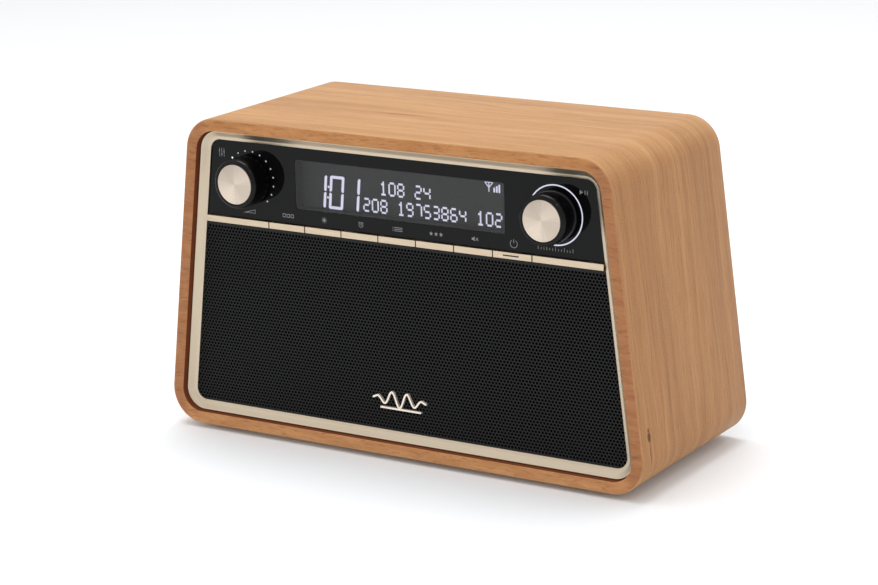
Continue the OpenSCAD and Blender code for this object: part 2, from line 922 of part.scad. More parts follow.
module aerial_hinge_pin() {
    l = knuckle_t + 2 * ear_gap + 2 * ear_t;
    color(steel) in_cabinet() translate([aerial_x, aerial_y, aerial_z - l / 2])
        cylinder(h = l, r = aerial_pin_r);
}

// A tube along -X that starts at x0 and is l long
module aerial_tube(x0, l, r_out, r_in, floor_l) {
    difference() {
        translate([x0, aerial_y, aerial_z]) rotate([0, -90, 0]) cylinder(h = l, r = r_out);
        if (r_in > 0)
            translate([x0 - floor_l, aerial_y, aerial_z]) rotate([0, -90, 0])
                cylinder(h = l, r = r_in);
    }
}

function tube_r(i) = aerial_d / 2 - (i - 1) * tube_step;
tube_x = aerial_x - knuckle_r - 1.5;

module aerial_section_1() {
    color(steel) in_cabinet() difference() {
        union() {
            translate([aerial_x, aerial_y, aerial_z - knuckle_t / 2])
                cylinder(h = knuckle_t, r = knuckle_r);
            translate([tube_x - 1, aerial_y - knuckle_r, aerial_z - knuckle_t / 2])
                cube([aerial_x - tube_x + 1, 2 * knuckle_r, knuckle_t]);
            aerial_tube(tube_x, aerial_tube_l, tube_r(1), tube_r(1) - tube_wall, 4);
        }
        translate([aerial_x, aerial_y, aerial_z - 20])
            cylinder(h = 40, r = aerial_pin_r + run);
    }
}

// The inner tubes start a little further along and stand out by one millimetre each
module inner_section(i, solid) {
    aerial_tube(tube_x - 3 - i, aerial_tube_l - 2, tube_r(i),
                solid ? 0 : tube_r(i) - tube_wall, 1);
}

module aerial_section_2() { color(steel) in_cabinet() inner_section(2, false); }
module aerial_section_3() { color(steel) in_cabinet() inner_section(3, false); }

module aerial_section_4() {
    tip_x = tube_x - 3 - 4 - (aerial_tube_l - 2);
    color(steel) in_cabinet() {
        inner_section(4, true);
        translate([tip_x, aerial_y, aerial_z]) rotate([0, -90, 0])
            cylinder(h = tip_l, r = aerial_d / 2);
    }
}

// ---------------------------------------------------------------- nodes

cabinet_shell();
corner_battens();
rear_panel();
front_chassis();
bezel_frame();
fascia_panel();
display_module();
speaker_grille();
grille_cloth();
badge();
left_trim_bar();
right_trim_bar();
mode_key();
dimmer_key();
alarm_key();
menu_key();
preset_key();
mute_key();
power_key();
power_key_lens();
volume_knob_body();
volume_knob_cap();
volume_shaft();
volume_encoder();
volume_push_pin();
volume_light_dots();
tuning_knob_body();
tuning_knob_cap();
tuning_shaft();
tuning_encoder();
tuning_push_pin();
tuning_light_ring();
encoder_nuts();
control_board();
tact_switches();
ribbon_cable();
main_board();
board_components();
radio_module();
speaker_leads();
left_speaker_basket();
left_speaker_magnet();
left_speaker_cone();
left_speaker_surround();
right_speaker_basket();
right_speaker_magnet();
right_speaker_cone();
right_speaker_surround();
inner_screws();
rear_screws();
feet();
dc_socket();
headphone_socket();
aux_socket();
aerial_base();
aerial_hinge_pin();
aerial_section_1();
aerial_section_2();
aerial_section_3();
aerial_section_4();
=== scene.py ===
"""A tabletop radio in a tapered wooden sleeve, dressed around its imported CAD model."""

from math import atan, atan2, ceil, cos, dist, floor, hypot, pi, radians, sin, sqrt, tan

import bmesh
import bpy
from mathutils import Matrix, Vector
from mathutils.geometry import delaunay_2d_cdt


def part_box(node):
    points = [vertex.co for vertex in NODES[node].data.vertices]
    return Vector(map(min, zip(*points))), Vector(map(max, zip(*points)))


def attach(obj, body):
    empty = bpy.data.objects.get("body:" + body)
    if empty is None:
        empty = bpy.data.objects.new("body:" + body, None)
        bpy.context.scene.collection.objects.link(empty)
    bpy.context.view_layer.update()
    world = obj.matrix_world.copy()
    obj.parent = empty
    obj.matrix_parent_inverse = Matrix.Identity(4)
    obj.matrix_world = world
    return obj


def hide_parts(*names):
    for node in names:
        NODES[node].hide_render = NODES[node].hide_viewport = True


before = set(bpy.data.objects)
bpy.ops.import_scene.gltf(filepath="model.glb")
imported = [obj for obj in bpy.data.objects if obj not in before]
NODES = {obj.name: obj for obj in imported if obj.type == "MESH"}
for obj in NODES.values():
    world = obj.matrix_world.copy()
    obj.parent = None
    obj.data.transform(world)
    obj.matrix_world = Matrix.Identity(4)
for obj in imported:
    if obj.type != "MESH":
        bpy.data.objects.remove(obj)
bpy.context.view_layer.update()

MM = 0.001
TAU = 2 * pi

# Lengths below are in millimetres in the cabinet's own coordinates: y is the depth behind the
# front edge of the wood, and z is the height above the wood's underside.
SHELL_LOW, SHELL_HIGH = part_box("cabinet_shell")
CABINET_H = (SHELL_HIGH.z - SHELL_LOW.z) / MM
CABINET_D = (SHELL_HIGH.y - SHELL_LOW.y) / MM
BOTTOM_W = 267
TOP_W = 229.5
CORNER_R = 16.5
WALL = 6
QUARTER = TAU / 4
SLOPE = (BOTTOM_W - TOP_W) / 2 / CABINET_H
LEAN = atan(SLOPE)
ARC_STEPS = 18


def point(x, y, z):
    """A place in cabinet millimetres as a place in the frame."""
    return Vector((x * MM, SHELL_LOW.y + y * MM, SHELL_LOW.z + z * MM))


def span(node):
    """A node's lowest and highest corners in cabinet millimetres."""
    origin = Vector((0, SHELL_LOW.y, SHELL_LOW.z))
    low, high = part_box(node)
    return (low - origin) / MM, (high - origin) / MM


def middle(node):
    """The middle of a node's box in cabinet millimetres."""
    return [(low + high) / 2 for low, high in zip(*span(node))]


# ---- camera, light and floor


def add_camera():
    """The photograph's viewpoint and field of view, as fitted to the sleeve's edges."""
    azimuth = radians(31.769)
    elevation = radians(14.944)
    roll = radians(-1.261)
    ahead = Vector((
        -sin(azimuth) * cos(elevation),
        cos(azimuth) * cos(elevation),
        -sin(elevation),
    ))
    level = ahead.cross(Vector((0, 0, 1))).normalized()
    upright = level.cross(ahead)
    right = cos(roll) * level + sin(roll) * upright
    up = -sin(roll) * level + cos(roll) * upright
    data = bpy.data.cameras.new("camera")
    data.lens = 110.31
    data.sensor_width = 36
    camera = bpy.data.objects.new("camera", data)
    turn = Matrix((right, up, -ahead)).transposed().to_4x4()
    camera.matrix_world = Matrix.Translation((0.65876, -1.07794, 0.40763)) @ turn
    bpy.context.scene.collection.objects.link(camera)
    bpy.context.scene.camera = camera


def add_light(name, place, target, size, power):
    """A soft box that faces a target, its size in metres and its power in watts."""
    data = bpy.data.lights.new(name, "AREA")
    data.shape = "RECTANGLE"
    data.size, data.size_y = size
    data.energy = power
    light = bpy.data.objects.new(name, data)
    light.location = place
    light.rotation_euler = (Vector(target) - Vector(place)).to_track_quat("-Z", "Y").to_euler()
    bpy.context.scene.collection.objects.link(light)


def add_studio():
    """A pale room, two soft boxes, a small lamp and a wide floor."""
    world = bpy.data.worlds.new("studio")
    world.use_nodes = True
    background = world.node_tree.nodes["Background"]
    background.inputs["Color"].default_value = (0.97, 0.98, 1, 1)
    background.inputs["Strength"].default_value = 0.88
    bpy.context.scene.world = world
    add_light("overhead", (-0.15, 0.1, 1.6), (0, 0, 0.1), (1.2, 0.9), 18)
    add_light("front_left", (-1.1, -1.3, 0.9), (0, 0, 0.08), (0.5, 0.9), 1)
    # A small lamp high on the right front, for the spark on the knobs' rims
    add_light("front_right", (0.68, -0.8, 1.1), (0, 0, 0.1), (0.1, 0.1), 1.3)
    reach = 12
    corners = [(-reach, -reach, 0), (reach, -reach, 0), (reach, reach, 0), (-reach, reach, 0)]
    mesh = new_mesh("floor", corners, [(0, 1, 2, 3)])
    floor = bpy.data.objects.new("floor", mesh)
    bpy.context.scene.collection.objects.link(floor)
    mesh.materials.append(MATERIALS["floor"])


# ---- materials


MATERIALS = {}


class Nodes:
    """Builds one procedural material and files it under its name."""

    def __init__(self, name):
        self.material = bpy.data.materials.new(name + "_finish")
        self.material.use_nodes = True
        self.tree = self.material.node_tree
        self.shader = self.tree.nodes["Principled BSDF"]
        MATERIALS[name] = self.material

    def put(self, socket, value):
        """Links a socket to another, or sets its value."""
        if isinstance(value, bpy.types.NodeSocket):
            self.tree.links.new(value, socket)
        elif value is not None:
            if hasattr(socket.default_value, "__len__") and len(value) == 3:
                value = (*value, 1)[: len(socket.default_value)]
            socket.default_value = value

    def fill(self, node, values):
        for name, value in values.items():
            self.put(node.inputs[name.replace("_", " ")], value)

    def add(self, kind, **values):
        node = self.tree.nodes.new("ShaderNode" + kind)
        self.fill(node, values)
        return node

    def set(self, **values):
        self.fill(self.shader, values)

    def coordinates(self, scale=(1, 1, 1), uv=None):
        if uv is None:
            out = self.add("TexCoord").outputs["Object"]
        else:
            node = self.add("UVMap")
            node.uv_map = uv
            out = node.outputs["UV"]
        return self.add("Mapping", Vector=out, Scale=scale).outputs["Vector"]

    def noise(self, vector, scale=1, detail=3, rough=0.55):
        node = self.add("TexNoise", Vector=vector, Scale=scale, Detail=detail, Roughness=rough)
        return node.outputs["Fac"]

    def math(self, kind, a, b=None):
        node = self.add("Math")
        node.operation = kind
        self.put(node.inputs[0], a)
        self.put(node.inputs[1], b)
        return node.outputs["Value"]

    def plus(self, a, b):
        return self.math("ADD", a, b)

    def minus(self, a, b):
        return self.math("SUBTRACT", a, b)

    def times(self, a, b):
        return self.math("MULTIPLY", a, b)

    def length(self, a, b):
        return self.math("SQRT", self.plus(self.times(a, a), self.times(b, b)))

    def range(self, value, low, high, out_low=0, out_high=1):
        node = self.add("MapRange", Value=value, From_Min=low, From_Max=high, To_Min=out_low,
                        To_Max=out_high)
        node.interpolation_type = "SMOOTHSTEP"
        return node.outputs["Result"]

    def mix(self, fac, a, b, kind="MIX"):
        node = self.add("Mix")
        node.data_type = "RGBA"
        node.blend_type = kind
        node.clamp_result = False
        # By number, as the node has a Factor, A and B for each type of data
        for socket, value in ((0, fac), (6, a), (7, b)):
            self.put(node.inputs[socket], value)
        return node.outputs[2]

    def tint(self, fac, color, factor):
        return self.mix(fac, color, self.mix(1.0, color, factor, "MULTIPLY"))

    def split(self, vector):
        return self.add("SeparateXYZ", Vector=vector).outputs

    def join(self, x, y, z=0.0):
        return self.add("CombineXYZ", X=x, Y=y, Z=z).outputs[0]

    def attribute(self, name):
        node = self.add("Attribute")
        node.attribute_name = name
        return node.outputs["Fac"]

    def bump(self, height, depth, strength):
        node = self.add("Bump", Strength=strength, Distance=depth, Height=height)
        self.put(self.shader.inputs["Normal"], node.outputs["Normal"])


def scaled(color, factor):
    return tuple(c * factor for c in color)


def plain(name, color, rough, metal=0.0, tone=0.12, patch=90, grit=2500, depth=0.00002,
          stretch=(1, 1, 1), rough_spread=0.08, **more):
    """A finish with patchy tone, uneven roughness and a fine surface texture."""
    m = Nodes(name)
    patches = m.noise(m.coordinates(stretch), patch, 4)
    fine = m.noise(m.coordinates(stretch), grit, 3, 0.6)
    m.set(
        Base_Color=m.mix(patches, scaled(color, 1 - tone), scaled(color, 1 + tone)),
        Roughness=m.range(fine, 0.3, 0.7, rough - rough_spread, rough + rough_spread),
        Metallic=metal,
        **more,
    )
    m.bump(fine, depth, 0.5)


def grain(m, along, across, stretch, seed=0.0, detail=2, rough=0.55):
    """Noise drawn out along the grain. stretch is its frequency along and across."""
    return m.noise(m.join(m.times(along, stretch[0]),
                          m.times(across, stretch[1]), seed), 1, detail, rough)


def distance(m, u, v, place, size):
    """How far a point lies from a place, in sizes of an oval round it."""
    return m.length(m.math("DIVIDE", m.minus(u, place[0]), size[0]),
                    m.math("DIVIDE", m.minus(v, place[1]), size[1]))


def layered(m, color, layers):
    """A colour with darker or paler layers over it, each shown by its own noise."""
    for fac, low, high, amount, shade in layers:
        color = m.mix(m.range(fac, low, high, 0, amount), color, shade)
    return color


def outwards(m, x, z, near, far):
    """Rises from 0 to 1 between two distances in from the slanted sides, in millimetres."""
    out = m.plus(m.math("ABSOLUTE", x), m.times(m.minus(z, SHELL_LOW.z), SLOPE))
    return m.range(out, (BOTTOM_W / 2 - near) * MM, (BOTTOM_W / 2 - far) * MM)


def finish_wood(m, color, fibre, rough, pores):
    """The lacquer that both woods share, sunk a little in the pores."""
    m.set(Base_Color=color, Roughness=m.range(fibre, 0.2, 0.8, *rough), Specular_IOR_Level=0.16)
    m.bump(m.minus(fibre, pores), 0.00004, 0.5)


def veneer(name):
    """Walnut-toned veneer whose grain runs round the sleeve: u is the way round, v the depth."""
    m = Nodes(name)
    u, raw_v, _ = m.split(m.coordinates(uv="grain"))
    drift = grain(m, u, raw_v, (9, 22))
    waves = grain(m, u, raw_v, (38, 60), 5.2)
    v = m.plus(raw_v, m.times(drift, 0.012))
    v = m.plus(v, m.times(waves, 0.0012))
    broad = grain(m, u, v, (4, 120), 0.0, 3)
    medium = grain(m, u, v, (14, 620), 7.4, 3, 0.6)
    fibre = grain(m, u, v, (45, 2000), 3.7, 3, 0.65)
    lines = grain(m, u, v, (9, 520), 11.3, 2)
    pore = grain(m, u, v, (95, 3000), 9.1, 2)
    speckle = m.noise(m.join(u, v), 1500, 2)
    color = m.mix(m.range(broad, 0.3, 0.7), (0.372, 0.187, 0.072), (0.498, 0.274, 0.115))
    color = layered(m, color, (
        (medium, 0.35, 0.70, 0.34, (0.30, 0.132, 0.050)),
        (fibre, 0.42, 0.75, 0.42, (0.28, 0.120, 0.045)),
        (lines, 0.58, 0.70, 0.50, (0.23, 0.102, 0.046)),
        (pore, 0.57, 0.70, 0.55, (0.18, 0.076, 0.033)),
        (speckle, 0.35, 0.65, 0.22, (0.66, 0.40, 0.20)),
    ))
    marks = (
        # The knot, a bud beside it and the tail of grain that it draws out
        (raw_v, KNOT, (0.0032, 0.0019), 0.45, 1.05, 0.9),
        (raw_v, (KNOT[0] + 0.0032, KNOT[1]), (0.0013, 0.0011), 0.4, 1.1, 0.8),
        (raw_v, (KNOT[0] - 0.007, KNOT[1]), (0.0075, 0.0006), 0.3, 1.0, 0.7),
        (v, FLAW, (0.021, 0.0009), 0.2, 1.0, 0.75),
    )
    mark = 0.0
    for across, place, size, near, far, amount in marks:
        spot = m.range(distance(m, u, across, place, size), near, far, amount, 0)
        mark = m.math("MAXIMUM", mark, spot)
    color = m.mix(mark, color, (0.10, 0.040, 0.018))
    # Paler along the rounded edges: partly wear, partly a painted highlight where the edges catch
    # the light
    color = m.mix(m.times(m.attribute("edge"), 0.1), color, (0.62, 0.36, 0.17))
    # The slanted sides are painted a little darker and redder than the top: painted shade
    x, _, z = m.split(m.coordinates())
    color = m.tint(outwards(m, x, z, 4, 1), color, (0.95, 0.88, 0.86))
    pores = m.times(m.range(pore, 0.57, 0.70, 0, 0.55), 0.9)
    finish_wood(m, color, fibre, (0.45, 0.62), pores)


def edge_wood(name):
    """The sleeve's front and back edges: redder, with short wavy level lines."""
    m = Nodes(name)
    x, _, z = m.split(m.coordinates())
    waves = m.noise(m.join(m.times(x, 110), m.times(z, 40)), 1, 2)
    z_wavy = m.plus(z, m.times(waves, 0.003))
    broad = grain(m, x, z_wavy, (40, 260), 0.0, 3)
    fibre = grain(m, x, z_wavy, (300, 1700), 3.7, 3, 0.65)
    lines = grain(m, x, z_wavy, (130, 950), 9.1, 2)
    color = m.mix(m.range(broad, 0.3, 0.7), (0.44, 0.190, 0.068), (0.53, 0.252, 0.096))
    color = layered(m, color, (
        (fibre, 0.35, 0.75, 0.34, (0.30, 0.110, 0.036)),
        (lines, 0.56, 0.68, 0.50, (0.24, 0.085, 0.034)),
    ))
    # The upright strips are darker than the level ones, and the bottom strip is the palest
    side = outwards(m, x, z, 13, 5.5)
    color = m.tint(side, color, (0.79, 0.75, 0.86))
    low = m.range(z, SHELL_LOW.z, SHELL_LOW.z + 12 * MM, 1, 0)
    color = m.tint(m.times(low, m.minus(1, side)), color, (1.1, 1.16, 1.3))
    # Paler along the rounded edges: partly wear, partly a painted highlight where the edges catch
    # the light
    color = m.mix(m.times(m.attribute("edge"), 0.22), color, (0.60, 0.33, 0.14))
    finish_wood(m, color, fibre, (0.45, 0.65), m.range(lines, 0.56, 0.68, 0, 0.50))


def brushed(name, color, rough, along, across):
    """Metal brushed along X."""
    m = Nodes(name)
    lines = m.noise(m.coordinates((along, across, across)), 1, 4, 0.7)
    soft = m.noise(m.coordinates((along * 2, across / 6, across / 6)), 1, 2)
    m.set(
        Base_Color=m.mix(m.range(lines, 0.25, 0.75), scaled(color, 0.86), scaled(color, 1.08)),
        Roughness=m.range(soft, 0.3, 0.7, rough - 0.06, rough + 0.08),
        Metallic=1.0,
        Anisotropic=0.4,
    )
    m.bump(lines, 0.00001, 0.35)


def spun(name, color, rough):
    """A turned metal disc about its own Y axis: fine rings, a radial sheen, uneven streaks round
    it and a painted sheen of two paler wedges.
    """
    m = Nodes(name)
    x, _, z = m.split(m.coordinates())
    rings = m.noise(m.join(m.times(m.length(x, z), 2600), 0.0), 1, 2, 0.6)
    angle = m.math("ARCTAN2", z, x)
    uneven = m.noise(m.join(m.math("COSINE", angle), m.math("SINE", angle)), 2.6, 3, 0.6)
    # Two opposite wedges are painted paler and the two between darker: a painted sheen, fixed on
    # the disc
    painted_sheen = m.math("COSINE", m.times(m.minus(angle, 0.9), 2))
    streaks_and_painted_sheen = m.plus(m.times(painted_sheen, 0.35), uneven)
    tangent = m.add("Tangent")
    tangent.direction_type = "RADIAL"
    tangent.axis = "Y"
    color = m.mix(m.range(streaks_and_painted_sheen, 0.2, 0.8), scaled(color, 0.86), scaled(color, 1.06))
    m.set(
        Base_Color=m.mix(m.range(rings, 0.3, 0.7, 0, 0.3), color, (0.50, 0.42, 0.34)),
        Roughness=m.range(rings, 0.3, 0.7, rough - 0.05, rough + 0.05),
        Metallic=1.0,
        Anisotropic=0.75,
        Tangent=tangent.outputs["Tangent"],
    )
    m.bump(rings, 0.000006, 0.25)


def glowing(name, color, strength, rough=0.3, base=None):
    """A lit plastic: slightly uneven light under a soft gloss."""
    m = Nodes(name)
    cloud = m.noise(m.coordinates(), 400, 2)
    lit = m.mix(cloud, scaled(color, 0.88), scaled(color, 1.0))
    m.set(
        Base_Color=base or scaled(color, 0.5),
        Roughness=m.range(cloud, 0.3, 0.7, rough - 0.05, rough + 0.05),
        Emission_Color=lit,
        Emission_Strength=strength,
    )


def cloth(name):
    """Fine plain weave."""
    m = Nodes(name)
    x, _, z = m.split(m.coordinates())
    thread_pitch = 0.45 * MM
    warp, weft = (m.math("ABSOLUTE", m.math("SINE", m.times(way, pi / thread_pitch)))
                  for way in (x, z))
    weave = m.math("MAXIMUM", warp, weft)
    m.set(
        Base_Color=m.mix(weave, (0.0005, 0.0005, 0.0005), (0.002, 0.002, 0.002)),
        Roughness=m.range(weave, 0, 1, 0.98, 0.9),
        Specular_IOR_Level=0.02,
    )
    m.bump(weave, 0.0001, 0.6)


def circuit(name):
    """Solder resist with faint copper tracks under it."""
    m = Nodes(name)
    x = m.split(m.coordinates())[0]
    wander = m.noise(m.coordinates(), 90, 1)
    track = m.math("SINE", m.plus(m.times(x, 1900), m.times(wander, 30)))
    copper = m.range(track, 0.2, 0.5, 0, 0.6)
    m.set(
        Base_Color=m.mix(copper, (0.012, 0.085, 0.035), (0.03, 0.17, 0.07)),
        Roughness=m.range(wander, 0.3, 0.7, 0.3, 0.45),
    )
    m.bump(copper, 0.00003, 0.4)


def window_pane(name):
    """Smoked acrylic that shows the display behind it."""
    m = Nodes(name)
    smear = m.noise(m.coordinates((60, 60, 25)), 1, 3)
    m.set(
        Base_Color=(0.002, 0.002, 0.002),
        Roughness=m.range(smear, 0.3, 0.7, 0.02, 0.05),
        IOR=1.55,
        Alpha=0.12,
    )


def gloss(name, color, rough, ior, smear_depth=0.02, coat=0.0, coat_rough=0.03):
    """Polished plastic with the faintest smears."""
    m = Nodes(name)
    smear = m.noise(m.coordinates((50, 50, 20)), 1, 4)
    dust = m.noise(m.coordinates(), 1400, 2)
    m.set(
        Base_Color=m.mix(m.range(dust, 0.62, 0.75), color, scaled(color, 1.5)),
        Roughness=m.range(smear, 0.3, 0.7, rough, rough + smear_depth),
        IOR=ior,
        Coat_Weight=coat,
        Coat_Roughness=coat_rough,
    )


def half_width(z, inset):
    """Half the width between the slanted sides at height z."""
    return BOTTOM_W / 2 - z * SLOPE - inset / cos(LEAN)


# Marks in the veneer, as a place round the sleeve and a depth, in metres: a knot low on the
# right side, and a dark line on the top
KNOT = (CORNER_R * (QUARTER + LEAN) * MM + 0.0088, 0.0080)
FLAW = (0.2972, 0.0555)

CHAMPAGNE = (0.60, 0.50, 0.375)
LAVENDER = (0.80, 0.80, 1.0)

plain("floor", (0.82, 0.83, 0.835), 0.6, tone=0.01, grit=300, Emission_Color=(1, 1, 1, 1),
      Emission_Strength=0.04)
veneer("walnut_veneer")
edge_wood("walnut_edge")
# The inner walls' wood, much darker than the veneer: painted shade of the recess behind the front
# edge
plain("walnut_inside_painted_shade", (0.165, 0.042, 0.014), 0.7, tone=0.25, patch=1, stretch=(40, 500, 40),
      grit=3, Specular_IOR_Level=0.15)
plain("softwood", (0.50, 0.34, 0.19), 0.65, tone=0.2, patch=1, stretch=(500, 25, 500), grit=4)
plain("black_moulding", (0.020, 0.020, 0.022), 0.52, depth=0.00006, grit=2200)
plain("badge_metal", (0.92, 0.82, 0.70), 0.34, 0.6, tone=0.03, grit=4000, depth=0.000002)
plain("champagne_metal", CHAMPAGNE, 0.4, 1.0, tone=0.02, grit=5000, depth=0.000002,
      rough_spread=0.03)
brushed("brushed_metal", (0.66, 0.535, 0.39), 0.36, 60, 5200)
spun("spun_cap", (0.68, 0.575, 0.475), 0.32)
gloss("glossy_panel", (0.003, 0.003, 0.0032), 0.02, 1.26)
window_pane("window")
gloss("knob_black", (0.0015, 0.0015, 0.0016), 0.3, 1.14, 0.05, 0.3, 0.1)
glowing("display", (0.036, 0.036, 0.037), 1.0, 0.6, (0.004, 0.004, 0.004))
glowing("display_segments", LAVENDER, 1.08, 0.4, (0.05, 0.05, 0.05))
# A faint glow on the liner round the window: painted light on the window's inner walls
plain("display_liner", (0.004, 0.004, 0.004), 0.8, tone=0.05, Emission_Color=(1, 1, 1, 1),
      Emission_Strength=0.028)
glowing("light_guide", LAVENDER, 0.85, 0.3, (0.1, 0.1, 0.11))
glowing("light_dots", (0.78, 0.80, 0.84), 0.42, 0.3, (0.22, 0.22, 0.23))
glowing("light_dot_bright", (0.90, 0.90, 1.0), 1.4, 0.3)
plain("print", (0.22, 0.22, 0.225), 0.5, tone=0.15, patch=2500, grit=5000, depth=0.000004)
gloss("dark_lens", (0.012, 0.009, 0.007), 0.08, 1.45)
plain("grille_metal", (0.012, 0.012, 0.0122), 0.5, tone=0.15, patch=600, grit=5200,
      rough_spread=0.1, Specular_IOR_Level=0.2)
cloth("acoustic_cloth")
plain("plated_steel", (0.60, 0.60, 0.58), 0.34, 1.0, tone=0.1)
circuit("circuit_board")
plain("switch_plastic", (0.028, 0.028, 0.028), 0.5)
plain("component_black", (0.032, 0.034, 0.038), 0.45)
plain("cable_jacket", (0.30, 0.31, 0.33), 0.5, patch=1, stretch=(2200, 30, 30))
plain("lead_red", (0.32, 0.03, 0.03), 0.45)
plain("speaker_steel", (0.028, 0.028, 0.030), 0.42)
plain("magnet_ferrite", (0.045, 0.045, 0.047), 0.6, tone=0.3)
plain("cone_paper", (0.028, 0.028, 0.028), 0.9, tone=0.3, grit=900, depth=0.0002)
plain("surround_rubber", (0.014, 0.014, 0.015), 0.6)
plain("zinc_screws", (0.66, 0.65, 0.60), 0.33, 1.0, tone=0.12)
plain("black_screws", (0.035, 0.035, 0.037), 0.36, 0.6, tone=0.2)
plain("foot_rubber", (0.018, 0.018, 0.018), 0.8, depth=0.00008)
plain("socket_plastic", (0.016, 0.016, 0.017), 0.38)
plain("chrome_plate", (0.74, 0.74, 0.76), 0.12, 1.0, tone=0.03, depth=0.000003, rough_spread=0.04)


# ---- mesh helpers


def add_piece(name, mesh, body, materials, replaces=(), sharp=35):
    """Links a finished mesh as a piece that rides on a body."""
    mesh.validate()
    mesh.shade_smooth()
    mesh.set_sharp_from_angle(angle=radians(sharp))
    piece = bpy.data.objects.new(name, mesh)
    bpy.context.scene.collection.objects.link(piece)
    for material in materials:
        mesh.materials.append(MATERIALS[material])
    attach(piece, body)
    if replaces:
        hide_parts(*replaces)
    return piece


def new_mesh(name, vertices, faces):
    mesh = bpy.data.meshes.new(name)
    mesh.from_pydata([tuple(v) for v in vertices], [], faces)
    return mesh


def tidy_normals(mesh):
    """Makes every face of a closed mesh look outwards."""
    edit = bmesh.new()
    edit.from_mesh(mesh)
    bmesh.ops.recalc_face_normals(edit, faces=edit.faces)
    edit.to_mesh(mesh)
    edit.free()


def closed_mesh(name, vertices, faces):
    mesh = new_mesh(name, vertices, faces)
    tidy_normals(mesh)
    return mesh


def joined(name, meshes):
    """Several meshes as one."""
    whole = bmesh.new()
    for mesh in meshes:
        whole.from_mesh(mesh)
    result = bpy.data.meshes.new(name)
    whole.to_mesh(result)
    whole.free()
    return result


def arc(cx, cz, radius, start, end, steps):
    """Points on an arc from one angle to another, in radians, ends included."""
    angles = [start + (end - start) * i / steps for i in range(steps + 1)]
    return [(cx + radius * cos(a), cz + radius * sin(a)) for a in angles]


def circle(cx, cz, radius, steps):
    return arc(cx, cz, radius, 0, TAU, steps)[:-1]


def pairs(loop):
    """Each point of a loop with the next, round to the first."""
    return zip(loop, loop[1:] + loop[:1])


def outline(inset, steps=ARC_STEPS):
    """The sleeve's rounded outline in x and z, moved inwards by an even inset."""
    low = CORNER_R
    high = CABINET_H - CORNER_R
    x_low = half_width(low, CORNER_R)
    x_high = half_width(high, CORNER_R)
    radius = CORNER_R - inset
    return (
        arc(x_low, low, radius, -QUARTER, LEAN, steps)
        + arc(x_high, high, radius, LEAN, QUARTER, steps)
        + arc(-x_high, high, radius, QUARTER, pi - LEAN, steps)
        + arc(-x_low, low, radius, pi - LEAN, 3 * QUARTER, steps)
    )


def swept(name, profile, bands, edges=None):
    """Carries a closed profile of (inset, depth) round the sleeve's outline.
    bands gives the material index of each strip, and edges how far each profile point is paled,
    for wear and a painted highlight."""
    vertices = [point(x, depth, z) for inset, depth in profile for x, z in outline(inset)]
    base = outline(0)
    count = len(base)
    way = [0]
    for a, b in pairs(base):
        way.append(way[-1] + dist(a, b) * MM)
    faces = []
    strips = []
    uvs = []
    total = len(profile)
    for i in range(total):
        k = (i + 1) % total
        for j in range(count):
            l = (j + 1) % count
            faces.append((i * count + j, k * count + j, k * count + l, i * count + l))
            strips.append(bands[i])
            near = profile[i][1] * MM
            far = profile[k][1] * MM
            uvs += [(way[j], near), (way[j], far), (way[j + 1], far), (way[j + 1], near)]
    mesh = new_mesh(name, vertices, faces)
    layer = mesh.uv_layers.new(name="grain")
    for loop, uv in zip(layer.data, uvs):
        loop.uv = uv
    for polygon, strip in zip(mesh.polygons, strips):
        polygon.material_index = strip
    if edges:
        wear_and_painted_highlight = mesh.attributes.new("edge", "FLOAT", "POINT")
        wear_and_painted_highlight.data.foreach_set("value", [e for e in edges for _ in range(count)])
    tidy_normals(mesh)
    return mesh


def turned(name, profile, steps=96):
    """Turns a profile of (radius, depth) about the Y axis through the origin. Its ends lie on
    the axis or meet each other. A radius may be a function of the angle."""
    vertices = []
    rings = []
    for radius, depth in profile:
        if radius == 0:
            ring = [(0, 0)]
        elif callable(radius):
            ring = [(x * radius(atan2(z, x)), z * radius(atan2(z, x)))
                    for x, z in circle(0, 0, 1, steps)]
        else:
            ring = circle(0, 0, radius, steps)
        rings.append(range(len(vertices), len(vertices) + len(ring)))
        vertices += [(x * MM, depth * MM, z * MM) for x, z in ring]
    closed = len(rings[0]) > 1
    faces = []
    for i in range(len(rings) if closed else len(rings) - 1):
        a = rings[i]
        b = rings[(i + 1) % len(rings)]
        for j in range(steps):
            k = (j + 1) % steps
            if len(a) == 1:
                faces.append((a[0], b[k], b[j]))
            elif len(b) == 1:
                faces.append((a[j], a[k], b[0]))
            else:
                faces.append((a[j], a[k], b[k], b[j]))
    return closed_mesh(name, vertices, faces)


def within(loop, x, z):
    """Whether a place lies inside a loop."""
    inside = False
    for (ax, az), (bx, bz) in pairs(loop):
        if (az > z) != (bz > z) and x < ax + (bx - ax) * (z - az) / (bz - az):
            inside = not inside
    return inside


def flat_mesh(loops):
    """Triangles between an outer loop and the holes in it: points and faces in the plane."""
    points = []
    edges = []
    for loop in loops:
        first = len(points)
        points += [Vector(p) for p in loop]
        edges += [(first + i, first + (i + 1) % len(loop)) for i in range(len(loop))]
    got, _, faces, *_ = delaunay_2d_cdt(points, edges, [], 0, 1e-6, False)
    kept = []
    for face in faces:
        x = sum(got[i].x for i in face) / len(face)
        z = sum(got[i].y for i in face) / len(face)
        if within(loops[0], x, z) and not any(within(hole, x, z) for hole in loops[1:]):
            kept.append(tuple(face))
    return [tuple(p) for p in got], kept


